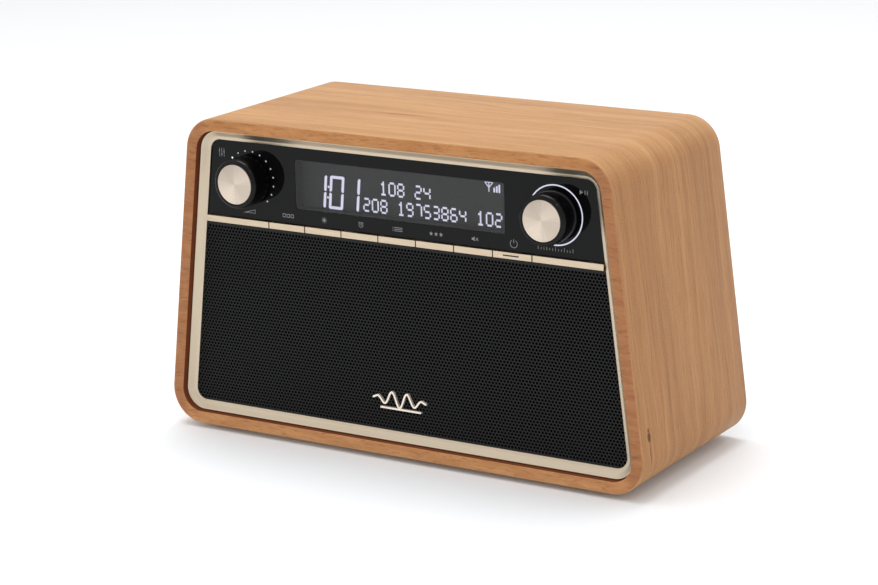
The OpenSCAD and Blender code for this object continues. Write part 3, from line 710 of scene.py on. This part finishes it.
def prism(flat_points, flat_faces, front, back):
    """A flat pattern of points and faces as vertices and faces of a closed plate."""
    used = {}
    for face in flat_faces:
        for i in face:
            used.setdefault(i, len(used))
    n = len(used)
    vertices = [point(flat_points[i][0], depth, flat_points[i][1])
                for depth in (front, back) for i in used]
    faces = []
    rims = {}
    for face in flat_faces:
        face = [used[i] for i in face]
        faces.append(tuple(face))
        faces.append(tuple(i + n for i in reversed(face)))
        for a, b in pairs(face):
            if (b, a) in rims:
                del rims[(b, a)]
            else:
                rims[(a, b)] = True
    faces += [(b, a, a + n, b + n) for a, b in rims]
    return vertices, faces


def plate_mesh(name, outlines, front, back):
    """One mesh of several closed plates. Each outline is a list of loops, the outer one first."""
    vertices = []
    faces = []
    for loops in outlines:
        points, flat_faces = flat_mesh(loops)
        more, more_faces = prism(points, flat_faces, front, back)
        faces += [tuple(i + len(vertices) for i in face) for face in more_faces]
        vertices += more
    return closed_mesh(name, vertices, faces)


def add_plate(name, outlines, front, back, material, replaces=()):
    mesh = plate_mesh(name, outlines, front, back)
    add_piece(name, mesh, "cabinet", [material], replaces)


def rounded_box(x0, x1, z0, z1, radius):
    centres = ((x1 - radius, z0 + radius), (x1 - radius, z1 - radius),
               (x0 + radius, z1 - radius), (x0 + radius, z0 + radius))
    loop = []
    for i, (x, z) in enumerate(centres):
        loop += arc(x, z, radius, (i - 1) * QUARTER, i * QUARTER, 5)
    return loop


def cut_by_height(loop, low=None, high=None):
    """The part of a convex loop between two heights."""
    for limit, sign in ((low, 1), (high, -1)):
        if limit is None:
            continue
        result = []
        for a, b in pairs(loop):
            inside_a = (a[1] - limit) * sign >= 0
            inside_b = (b[1] - limit) * sign >= 0
            if inside_a:
                result.append(a)
            if inside_a != inside_b:
                t = (limit - a[1]) / (b[1] - a[1])
                result.append((a[0] + (b[0] - a[0]) * t, limit))
        loop = result
    return loop


def stroke(a, b, width):
    """A straight line of some width between two points, as a loop."""
    a = Vector(a)
    b = Vector(b)
    side = (b - a).normalized().orthogonal() * width / 2
    return [tuple(a - side), tuple(b - side), tuple(b + side), tuple(a + side)]


def strokes(x, z, width, *ends):
    """Straight lines as outlines. Each is from one offset in x and z to another."""
    return [[stroke((x + a, z + b), (x + c, z + d), width)] for a, b, c, d in ends]


def placed(x, z, *offsets):
    """A loop given by its offsets from a place."""
    return [(x + dx, z + dz) for dx, dz in offsets]


def band(cx, cz, radius, width, start, end, steps=20):
    """Part of a ring, as a loop."""
    outer = arc(cx, cz, radius + width / 2, start, end, steps)
    return outer + arc(cx, cz, radius - width / 2, end, start, steps)


# ---- cabinet


def build_cabinet():
    """The wooden sleeve, with its outer and inner edges eased."""
    outer = 0.7
    inner = 0.35
    steps = 4
    profile = []
    bands = []
    edges = []

    # The last value pales the wood there: partly wear, partly a painted highlight on the rounded
    # edges
    def add(inset, depth, material, wear_and_painted_highlight=0.0):
        profile.append((inset, depth))
        bands.append(material)
        edges.append(wear_and_painted_highlight)

    turns = [QUARTER * i / steps for i in range(steps + 1)]
    # Outer surface from the back to the front
    for depth in (CABINET_D - outer, CABINET_D * 0.66, CABINET_D * 0.33, outer):
        add(0, depth, 0)
    for a in turns[1:]:
        add(outer - outer * cos(a), outer - outer * sin(a), 0 if a < 0.8 else 1,
            sin(2 * a) + 0.25)
    add(outer + 0.5, 0, 1)
    add(WALL - inner - 0.4, 0, 1)
    for a in turns:
        add(WALL - inner + inner * sin(a), inner - inner * cos(a), 1 if a < 0.8 else 2,
            0.3 * sin(2 * a))
    for depth in (8, CABINET_D - inner):
        add(WALL, depth, 2)
    add(WALL - inner, CABINET_D, 1)
    add(outer, CABINET_D, 1)
    add(outer * 0.3, CABINET_D - outer * 0.3, 0, 0.6)
    mesh = swept("cabinet", profile, bands, edges)
    add_piece("cabinet", mesh, "cabinet",
              ["walnut_veneer", "walnut_edge", "walnut_inside_painted_shade"], ["cabinet_shell"], 60)


def build_bezel():
    """The dished metal ring: a rounded edge, a gentle hollow and a flat lip."""
    low, high = span("bezel_frame")
    gap = 0.3
    width = 4.6
    drop = 2.3
    wall = 2.1
    lip_t = 0.8
    out = WALL + gap
    lip = out + width
    front = low.y
    lip_y = front + drop
    dish = [(0.50, 0.05), (0.70, 0.19), (1.10, 0.51), (1.60, 0.92), (2.10, 1.32), (2.60, 1.71),
            (2.90, 1.92), (3.06, 2.02), (3.20, 2.09), (3.40, 2.13)]
    profile = [
        (out, front + 0.35), (out + 0.03, front + 0.14), (out + 0.14, front + 0.03),
        (out + 0.34, front), *[(out + inset, front + depth) for inset, depth in dish],
        (lip - 0.16, lip_y - 0.02), (lip - 0.04, lip_y + 0.05), (lip, lip_y + 0.18),
        (lip, lip_y + lip_t), (out + wall, lip_y + lip_t), (out + wall, high.y), (out, high.y),
    ]
    mesh = swept("bezel", profile, [0] * len(profile))
    add_piece("bezel", mesh, "cabinet", ["champagne_metal"],
              ["bezel_frame"], 40)


# ---- glossy panel


FACE_LOW, FACE_HIGH = span("fascia_panel")
FACE_Y = FACE_LOW.y
PANEL_INSET = 8.7
WINDOW_W = 115.2
WINDOW_H = 24.1
PANE_T = 0.3
WINDOW_Z = middle("display_module")[2]
KNOBS = {side: Vector(middle(side + "_knob_body")) for side in ("volume", "tuning")}
KEYS = ("mode", "dimmer", "alarm", "menu", "preset", "mute", "power")
LIGHT_R = 13.9
LABEL_Z = 110


def window_loop(inset=0.0):
    half_w = WINDOW_W / 2 - inset
    half_h = WINDOW_H / 2 - inset
    return rounded_box(-half_w, half_w, WINDOW_Z - half_h, WINDOW_Z + half_h, 1.1 - inset / 2)


def build_panel():
    """The glossy sheet with its holes, and the pane in its window."""
    bush_hole_r = 6.37
    face = cut_by_height(outline(PANEL_INSET), low=FACE_LOW.z)
    holes = [circle(knob.x, knob.z, bush_hole_r, 32) for knob in KNOBS.values()]
    add_plate("glossy_panel", [[face, window_loop(), *holes]], FACE_Y, FACE_HIGH.y,
              "glossy_panel", ["fascia_panel"])
    add_plate("display_window", [[window_loop(0.03)]], FACE_Y, FACE_Y + PANE_T,
              "window")


def build_lights():
    """Sixteen small domed lights, and a ring."""
    knob = KNOBS["volume"]
    profile = [(0, 0.35), (0.42, 0.35), (0.42, 0), (0.36, -0.05), (0.21, -0.08), (0, -0.09)]
    bright = 5
    dots = []
    for i in range(16):
        angle = radians(225 - 18 * i)
        dot = turned("dot", profile, 16)
        for polygon in dot.polygons:
            polygon.material_index = 1 if i == bright else 0
        place = point(knob.x + LIGHT_R * cos(angle), FACE_Y,
                      knob.z + LIGHT_R * sin(angle))
        dot.transform(Matrix.Translation(place))
        dots.append(dot)
    add_piece("volume_lights", joined("dots", dots), "cabinet",
              ["light_dots", "light_dot_bright"], ["volume_light_dots"])
    knob = KNOBS["tuning"]
    half = 0.31
    bow = [(LIGHT_R + half * cos(a), -0.09 * sin(a))
           for a in [pi * i / 8 for i in range(9)]]
    mesh = turned("ring", [(LIGHT_R + half, 0.35), *bow, (LIGHT_R - half, 0.35)], 128)
    piece = add_piece("tuning_light", mesh, "cabinet", ["light_guide"],
                      ["tuning_light_ring"])
    piece.location = point(knob.x, FACE_Y, knob.z)


def star(cx, cz, radius):
    """A star of five points."""
    return [(cx + r * sin(pi * i / 5), cz + r * cos(pi * i / 5))
            for i, r in enumerate([radius, radius * 0.42] * 5)]


def build_marks():
    """Plain pictograms in place of words, as thin grey printing on the panel."""
    thin = 0.28
    z = LABEL_Z
    slider_z = 137.6
    left = KNOBS["volume"].x
    right = KNOBS["tuning"].x
    mode, dimmer, alarm, menu, preset, mute, power = (middle(key + "_key")[0] for key in KEYS)
    play = right + 14.7
    ring_gap = 0.55
    sliders = []
    for offset, level in ((-1.35, 0.9), (0, -0.9), (1.35, 0.3)):
        x = left - 16 + offset
        sliders += [[stroke((x, slider_z - 2.1), (x, slider_z + level - 0.42), thin)],
                    [stroke((x, slider_z + level + 0.42), (x, slider_z + 2.1), thin)]]
        sliders.append([circle(x, slider_z + level, 0.42, 14)])
    marks = {
        "volume": [[placed(left, z, (-4.6, -0.95), (2.6, -0.95), (2.6, 1.05)),
                    placed(left, z, (-2.5, -0.68), (2.32, -0.68), (2.32, 0.64))]],
        "mode": [[rounded_box(x - 0.9, x + 0.9, z - 0.9, z + 0.9, 0.3),
                  rounded_box(x - 0.6, x + 0.6, z - 0.6, z + 0.6, 0.15)]
                 for x in (mode - 2.3, mode, mode + 2.3)],
        "dimmer": [[circle(dimmer, z, 0.72, 20)]] + strokes(dimmer, z, thin, *(
            (cos(a), sin(a), 1.5 * cos(a), 1.5 * sin(a))
            for a in [TAU * i / 8 for i in range(8)])),
        "alarm": [[circle(alarm, z - 0.1, 1.25, 28), circle(alarm, z - 0.1, 0.98, 28)]] + strokes(
            alarm, z, thin, (0, -0.2, 0, 0.55), (0.14, -0.2, 0.62, -0.2),
            (-1.35, 0.95, -0.8, 1.35), (1.35, 0.95, 0.8, 1.35)),
        "menu": strokes(menu, z, thin, *((-2.2, d, 2.4, d) for d in (-0.8, 0, 0.8)))
                + [[circle(menu - 2.9, z + d, 0.2, 10)] for d in (-0.8, 0, 0.8)],
        "preset": [[star(preset + i * 2.7, z, 1.15)] for i in (-1, 0, 1)],
        "mute": [[placed(mute, z, (-1.5, -0.5), (-0.8, -0.5), (0, -1.15), (0, 1.15), (-0.8, 0.5),
                         (-1.5, 0.5))]] + strokes(
            mute, z, thin, (0.6, -0.7, 1.9, 0.7), (0.6, 0.7, 1.15, 0.1), (1.35, -0.1, 1.9, -0.7)),
        "power": [[band(power, z, 1.85, 0.3, QUARTER + ring_gap, QUARTER + TAU - ring_gap, 32)]]
                 + strokes(power, z, 0.3, (0, 0.3, 0, 2.1)),
        "tuning": strokes(right, z, thin, *(
            (i * 1.5, -0.95, i * 1.5, 0.9 if i % 3 == 0 else 0.1) for i in range(-6, 7))),
        "equaliser": sliders,
        "play": [[placed(play, slider_z, (-2.1, -1.05), (-0.3, 0), (-2.1, 1.05))]] + strokes(
            play, slider_z, 0.34, (0.6, -1.0, 0.6, 1.0), (1.8, -1.0, 1.8, 1.0)),
    }
    for name, outlines in marks.items():
        add_plate("mark_" + name, outlines, FACE_Y - 0.02, FACE_Y + 0.05, "print")


# ---- display

# Which bars are lit in each figure: top, upper right, lower right, bottom, lower left,
# upper left, middle
BARS = {
    "0": "abcdef", "1": "bc", "2": "abged", "3": "abgcd", "4": "fgbc",
    "5": "afgcd", "6": "afgecd", "7": "abc", "8": "abcdefg", "9": "abcdfg",
}
DOT_W = 0.80
DOT_H = 0.97


def dot_figure(figure, x, z):
    """A figure of square dots, five across and seven up, from its lower left corner."""
    columns = 4
    rows = 6
    waist = rows // 2
    places = set()
    for bar in BARS.get(figure, ""):
        if bar in "adg":
            row = {"a": rows, "g": waist, "d": 0}[bar]
            places |= {(c, row) for c in range(1, columns)}
        else:
            low, high = (waist + 1, rows) if bar in "bf" else (1, waist)
            column = columns if bar in "bc" else 0
            places |= {(column, r) for r in range(low, high)}
            if bar in "bf" and "g" not in BARS[figure]:
                places.add((column, waist))
    if figure == "1":
        places = {(2, r) for r in range(rows + 1)} | {(1, rows - 1), (1, 0), (3, 0)}
    gap = 0.05
    return [[placed(x + c * DOT_W, z + r * DOT_H, (0, 0), (DOT_W - gap, 0),
                    (DOT_W - gap, DOT_H - gap), (0, DOT_H - gap))] for c, r in sorted(places)]


def bar_figure(figure, x, z, width, height, bar):
    """A large slanted figure of seven mitred bars."""
    lean = tan(radians(5))
    gap = 0.18
    h = height / 2

    def upright(column, low, high, inward):
        edge = x + column
        side = bar * inward
        return [(edge, low + gap + bar * 0.25), (edge, high - gap - bar * 0.25),
                (edge + side * 0.5, high - gap), (edge + side, high - gap - bar * 0.55),
                (edge + side, low + gap + bar * 0.55), (edge + side * 0.5, low + gap)]

    def level(height_z, inward):
        return [(x + gap + bar * 0.3, height_z), (x + width - gap - bar * 0.3, height_z),
                (x + width - gap - bar * 1.05, height_z + bar * inward),
                (x + gap + bar * 1.05, height_z + bar * inward)]

    shapes = {
        "a": level(z + height, -1),
        "b": upright(width, z + h, z + height, -1),
        "c": upright(width, z, z + h, -1),
        "d": level(z, 1),
        "e": upright(0, z, z + h, 1),
        "f": upright(0, z + h, z + height, 1),
        "g": level(z + h - bar / 2, 1),
    }
    return [[[(px + (pz - z) * lean, pz) for px, pz in shapes[k]]] for k in BARS[figure]]


def build_display():
    """The lit segments on the display, and a liner that hides the window's cut edge, its faint
    glow painted light on the window's inner walls.
    """
    glass = span("display_module")[0].y
    front = glass - 0.1
    back = glass - 0.02
    add_plate("display_liner", [[window_loop(0.05), window_loop(0.3)]], FACE_Y + PANE_T + 0.02,
              front - 0.02, "display_liner")
    clock_z = 114.4
    clock = []
    for figure, x in (("1", -52.4), ("0", -42.6), ("1", -33.6)):
        clock += bar_figure(figure, x, clock_z, 8.1, 16.3, 1.4)
    for height in (5.4, 10.6):
        clock.append([circle(-43.3 + height * 0.09, clock_z + height, 0.55, 14)])
    figures = []
    for text, x, height in (("108 24", -13.3, 123.9), ("208 19753864 102", -22.9, 115.1)):
        for i, figure in enumerate(text):
            figures += dot_figure(figure, x + i * 6 * DOT_W, height)
    # An aerial and three bars of signal
    x = 46.2
    z = 131.5
    signal = (strokes(x, z, 0.45, (0, 0, 0, 4.3))
              + strokes(x, z, 0.4, (-0.25, 2.3, -2.0, 4.3), (0.25, 2.3, 2.0, 4.3))
              + strokes(x, z, 0.3, (-2.2, 4.45, 2.2, 4.45)))
    for i, height in enumerate((2.2, 3.0, 3.8)):
        signal.append([placed(x + 2.4 + i * 1.35, z, (0, 0), (0.85, 0), (0.85, height),
                              (0, height))])
    for name, outlines in (("clock", clock), ("figures", figures), ("signal", signal)):
        add_plate("display_" + name, outlines, front, back, "display_segments")


# ---- grille


def grille_pattern():
    """Round holes in a staggered pattern: points and faces of the sheet in the plane."""
    pitch = 1.814
    row = pitch * sqrt(3) / 2
    corner = pitch / sqrt(3)
    hole_r = 0.7
    sides = 12
    low, high = span("speaker_grille")
    margin = 2.1
    top_edge = 0.4
    top = high.z - top_edge - margin
    rim = divided(cut_by_height(outline(PANEL_INSET, 10), high=high.z), 2 * pitch)
    points = []
    known = {}
    faces = []
    cells = []

    def add(x, z):
        key = (round(x * 200), round(z * 200))
        if key not in known:
            known[key] = len(points)
            points.append((x, z))
        return known[key]

    def room(x, z):
        slant = half_width(z, PANEL_INSET) - abs(x)
        if min(slant * cos(LEAN), high.z - z, z - low.z) < margin:
            return False
        lowest = CORNER_R
        centre = half_width(lowest, CORNER_R)
        if z < lowest and abs(x) > centre:
            reach = CORNER_R - PANEL_INSET - margin
            return hypot(abs(x) - centre, z - lowest) < reach
        return True

    rows = int((high.z - low.z) / row) + 1
    columns = int(high.x / pitch) + 2
    for r in range(rows):
        z = top - r * row
        for c in range(-columns, columns + 1):
            x = (c + 0.5 * (r % 2)) * pitch
            if not room(x, z):
                continue
            cells.append((x, z))
            ring = [add(x + corner * sin(TAU * k / 6), z + corner * cos(TAU * k / 6))
                    for k in range(6)]
            first = len(points)
            for k in range(sides):
                a = TAU * k / sides
                points.append((x + hole_r * sin(a), z + hole_r * cos(a)))
            for k in range(6):
                inner = [first + (2 * k + i) % sides for i in range(3)]
                faces.append((ring[k], inner[0], inner[1], inner[2], ring[(k + 1) % 6]))
    uses = {}
    for face in faces:
        for a, b in pairs(face):
            key = (min(a, b), max(a, b))
            uses[key] = uses.get(key, 0) + 1
    corners = set(known.values())
    seam = [edge for edge, count in uses.items() if count == 1 and set(edge) <= corners]
    border_points = [Vector(p) for p in rim]
    border_ids = [len(points) + i for i in range(len(rim))]
    points += rim
    edges = [(i, (i + 1) % len(rim)) for i in range(len(rim))]
    place = {}
    for a, b in seam:
        for i in (a, b):
            if i not in place:
                place[i] = len(border_points)
                border_points.append(Vector(points[i]))
                border_ids.append(i)
        edges.append((place[a], place[b]))
    got, _, triangles, origin, *_ = delaunay_2d_cdt(border_points, edges, [], 1, 1e-7, True)
    taken = {(round((x / pitch) * 2), round((top - z) / row)) for x, z in cells}
    ids = [border_ids[source[0]] for source in origin]
    # Four places in each triangle, as a long one may cross cells that its middle misses
    shares = ((0.34, 0.33, 0.33), (0.6, 0.2, 0.2), (0.2, 0.6, 0.2), (0.2, 0.2, 0.6))
    for triangle in triangles:
        spots = [sum((got[i] * share for i, share in zip(triangle, part)), Vector((0, 0)))
                 for part in shares]
        if not any(inside_cell(*spot, taken, pitch, row, top, corner) for spot in spots):
            faces.append(tuple(ids[i] for i in triangle))
    return points, faces


def divided(loop, longest):
    """A loop with points added along its long sides."""
    result = []
    for a, b in pairs(loop):
        parts = ceil(dist(a, b) / longest)
        result += [tuple(Vector(a).lerp(Vector(b), i / parts)) for i in range(parts)]
    return result


def inside_cell(x, z, taken, pitch, row, top, corner):
    """Whether a place lies in one of the kept hexagonal cells."""
    guess = (top - z) / row
    for r in (floor(guess), ceil(guess)):
        step = (x / pitch) * 2
        for c in (floor(step), ceil(step)):
            if (c - r) % 2 or (c, r) not in taken:
                continue
            dx = abs(x - c * pitch / 2)
            dz = abs(z - (top - r * row))
            if dx <= pitch / 2 and dz <= corner - dx / sqrt(3):
                return True
    return False


def build_grille():
    """The perforated sheet in four closed pieces, side by side."""
    points, faces = grille_pattern()
    bounds = (-52, 0, 52)
    groups = [[] for _ in range(len(bounds) + 1)]
    for face in faces:
        x = sum(points[i][0] for i in face) / len(face)
        groups[sum(x > bound for bound in bounds)].append(face)
    low, high = span("speaker_grille")
    for i, group in enumerate(groups):
        vertices, solid_faces = prism(points, group, low.y, high.y)
        mesh = closed_mesh("grille", vertices, solid_faces)
        add_piece(f"grille_{i + 1}", mesh, "cabinet", ["grille_metal"],
                  ["speaker_grille"])


# ---- knobs


def build_knobs():
    """Two black knobs with a rounded rim, each with a spun disc in its front."""
    for side, centre in KNOBS.items():
        low, high = span(side + "_knob_body")
        depth = high.y - low.y
        cap_low, cap_high = span(side + "_knob_cap")
        cap_r = (cap_high.x - cap_low.x) / 2
        radius = (high.x - low.x) / 2
        rim = 1.8
        wall = 2
        front_t = 3.5
        hub_r = 5
        bore_r = 3.05
        bore_y = 2.5
        recess = cap_high.y - low.y
        rim_arc = [(radius - rim + rim * sin(a), rim - rim * cos(a))
                   for a in [QUARTER * i / 10 for i in range(11)]]
        profile = [
            (0, recess), (cap_r + 0.12, recess), (cap_r + 0.12, 0.34), (cap_r + 0.2, 0.14),
            (cap_r + 0.36, 0.02), *rim_arc, (radius, depth - 0.3), (radius - 0.3, depth),
            (radius - wall, depth), (radius - wall, front_t), (hub_r, front_t),
            (hub_r, depth - 1), (bore_r, depth - 1), (bore_r, bore_y), (0, bore_y),
        ]
        mesh = turned(side + "_knob", profile, 128)
        piece = add_piece(side + "_knob_shell", mesh, side + "_knob",
                          ["knob_black"], [side + "_knob_body"], 30)
        place_on(piece, side + "_knob", point(centre.x, low.y, centre.z))
        thick = cap_high.y - cap_low.y
        disc = [(0, 0.0), (cap_r - 0.25, 0.0), (cap_r - 0.08, 0.05), (cap_r, 0.2), (cap_r, thick),
                (0, thick)]
        mesh = turned(side + "_cap", disc, 128)
        piece = add_piece(side + "_knob_disc", mesh, side + "_knob", ["spun_cap"],
                          [side + "_knob_cap"], 30)
        place_on(piece, side + "_knob", point(centre.x, cap_low.y, centre.z))


def place_on(piece, body, place):
    """Moves a piece to its place and makes it ride from there."""
    piece.location = place
    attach(piece, body)


# ---- rear


def cross(half_l, half_w):
    """The outline of a cross, as a function that gives its reach from its middle at an angle."""

    def reach(angle):
        level = max(abs(cos(angle)), 1e-9)
        upright = max(abs(sin(angle)), 1e-9)
        return max(min(half_l / level, half_w / upright), min(half_l / upright, half_w / level))

    return reach


def build_rear_screws():
    """Four pan-head screws with a cross recess."""
    low, high = span("rear_screws")
    spots = [v.co for v in NODES["rear_screws"].data.vertices]
    waist = (min(spot.z for spot in spots) + max(spot.z for spot in spots)) / 2
    corners = []
    for sign_x in (-1, 1):
        for top in (False, True):
            picked = [spot for spot in spots if spot.x * sign_x > 0 and (spot.z > waist) == top]
            x, z = ((min(way) + max(way)) / 2
                    for way in ([spot.x for spot in picked], [spot.z for spot in picked]))
            corners.append((x / MM, (z - SHELL_LOW.z) / MM))
    head_y = high.y
    head_r = 2.8
    shank_r = 1.5
    recess_y = head_y - 1.0
    seat_y = span("rear_panel")[1].y + 0.02
    profile = [(0, recess_y), (cross(0.9, 0.24), recess_y), (cross(1.6, 0.36), head_y),
               (1.9, head_y), (2.35, head_y - 0.2), (2.65, head_y - 0.6), (head_r, head_y - 1.2),
               (head_r, seat_y), (shank_r, seat_y), (shank_r, low.y + 1.5), (0, low.y)]
    screw = turned("screw", profile, 96)
    screws = []
    for x, z in corners:
        screws.append(screw.copy())
        screws[-1].transform(Matrix.Translation(point(x, 0, z)))
    add_piece("rear_screw_set", joined("rear_screw_set", screws), "cabinet",
              ["black_screws"], ["rear_screws"])


def build_socket_marks():
    """Raised signs beside the rear sockets: headphones, an arrow inwards, and polarity."""
    face = span("rear_panel")[1].y
    z = span("headphone_socket")[1].z + 12
    head, aux, power = (middle(name + "_socket")[0] for name in ("headphone", "aux", "dc"))
    signs = [
        [band(head, z, 1.9, 0.35, 0, pi, 16)],
        [rounded_box(head - 2.35, head - 1.35, z - 1.6, z - 0.1, 0.3)],
        [rounded_box(head + 1.35, head + 2.35, z - 1.6, z - 0.1, 0.3)],
        [band(aux, z, 1.9, 0.35, QUARTER + 0.6, QUARTER + TAU - 0.6, 28)],
        *strokes(aux, z, 0.35, (0, 2.6, 0, 0.4)),
        [placed(aux, z, (-0.8, 0.5), (0, -0.7), (0.8, 0.5))],
        [circle(power, z, 0.6, 16)],
        [band(power, z, 1.5, 0.35, 0.5, TAU - 0.5, 28)],
        *strokes(power, z, 0.3, (-4.6, 0, -1.75, 0), (0.6, 0, 4.6, 0), (-5.7, 0, -4.9, 0),
                 (5.0, 0, 6.0, 0), (5.5, -0.5, 5.5, -0.16), (5.5, 0.16, 5.5, 0.5)),
    ]
    add_plate("socket_signs", signs, face - 0.05, face + 0.12, "print")


# ---- CAD nodes that stay


BARS_AND_KEYS = ["left_trim_bar", "right_trim_bar", *(key + "_key" for key in KEYS)]
# Finishes that differ from the CAD node's own slot
FINISHES = {**dict.fromkeys(BARS_AND_KEYS, "brushed_metal"), "badge": "badge_metal"}
# How far each edge is rounded, in millimetres
ROUNDED = {
    **dict.fromkeys(BARS_AND_KEYS, 0.18), "power_key": 0.14, "badge": 0.18,
    "rear_panel": 0.35, "feet": 0.5, "headphone_socket": 0.25, "aux_socket": 0.25,
    "dc_socket": 0.25, "aerial_base": 0.3, "aerial_section_4": 0.4, "board_components": 0.2,
    "radio_module": 0.3, "corner_battens": 0.5, "tact_switches": 0.2,
}


def dress_nodes():
    """Gives each CAD node that stays its finish, and rounds the edges that show."""
    for name, node in NODES.items():
        for place in node.material_slots:
            slot = place.material.name.split(".")[0]
            place.material = MATERIALS[FINISHES.get(name, slot)]
        if name in ROUNDED:
            weld = node.modifiers.new("weld", "WELD")
            weld.merge_threshold = 0.005 * MM
            bevel = node.modifiers.new("edges", "BEVEL")
            bevel.width = ROUNDED[name] * MM
            bevel.segments = 3
            bevel.limit_method = "ANGLE"
            bevel.angle_limit = radians(40)
            bevel.harden_normals = True


add_camera()
add_studio()
bpy.context.scene.view_settings.view_transform = "Standard"
build_cabinet()
build_bezel()
build_panel()
build_lights()
build_marks()
build_display()
build_grille()
build_knobs()
build_rear_screws()
build_socket_marks()
dress_nodes()

bpy.context.view_layer.update()
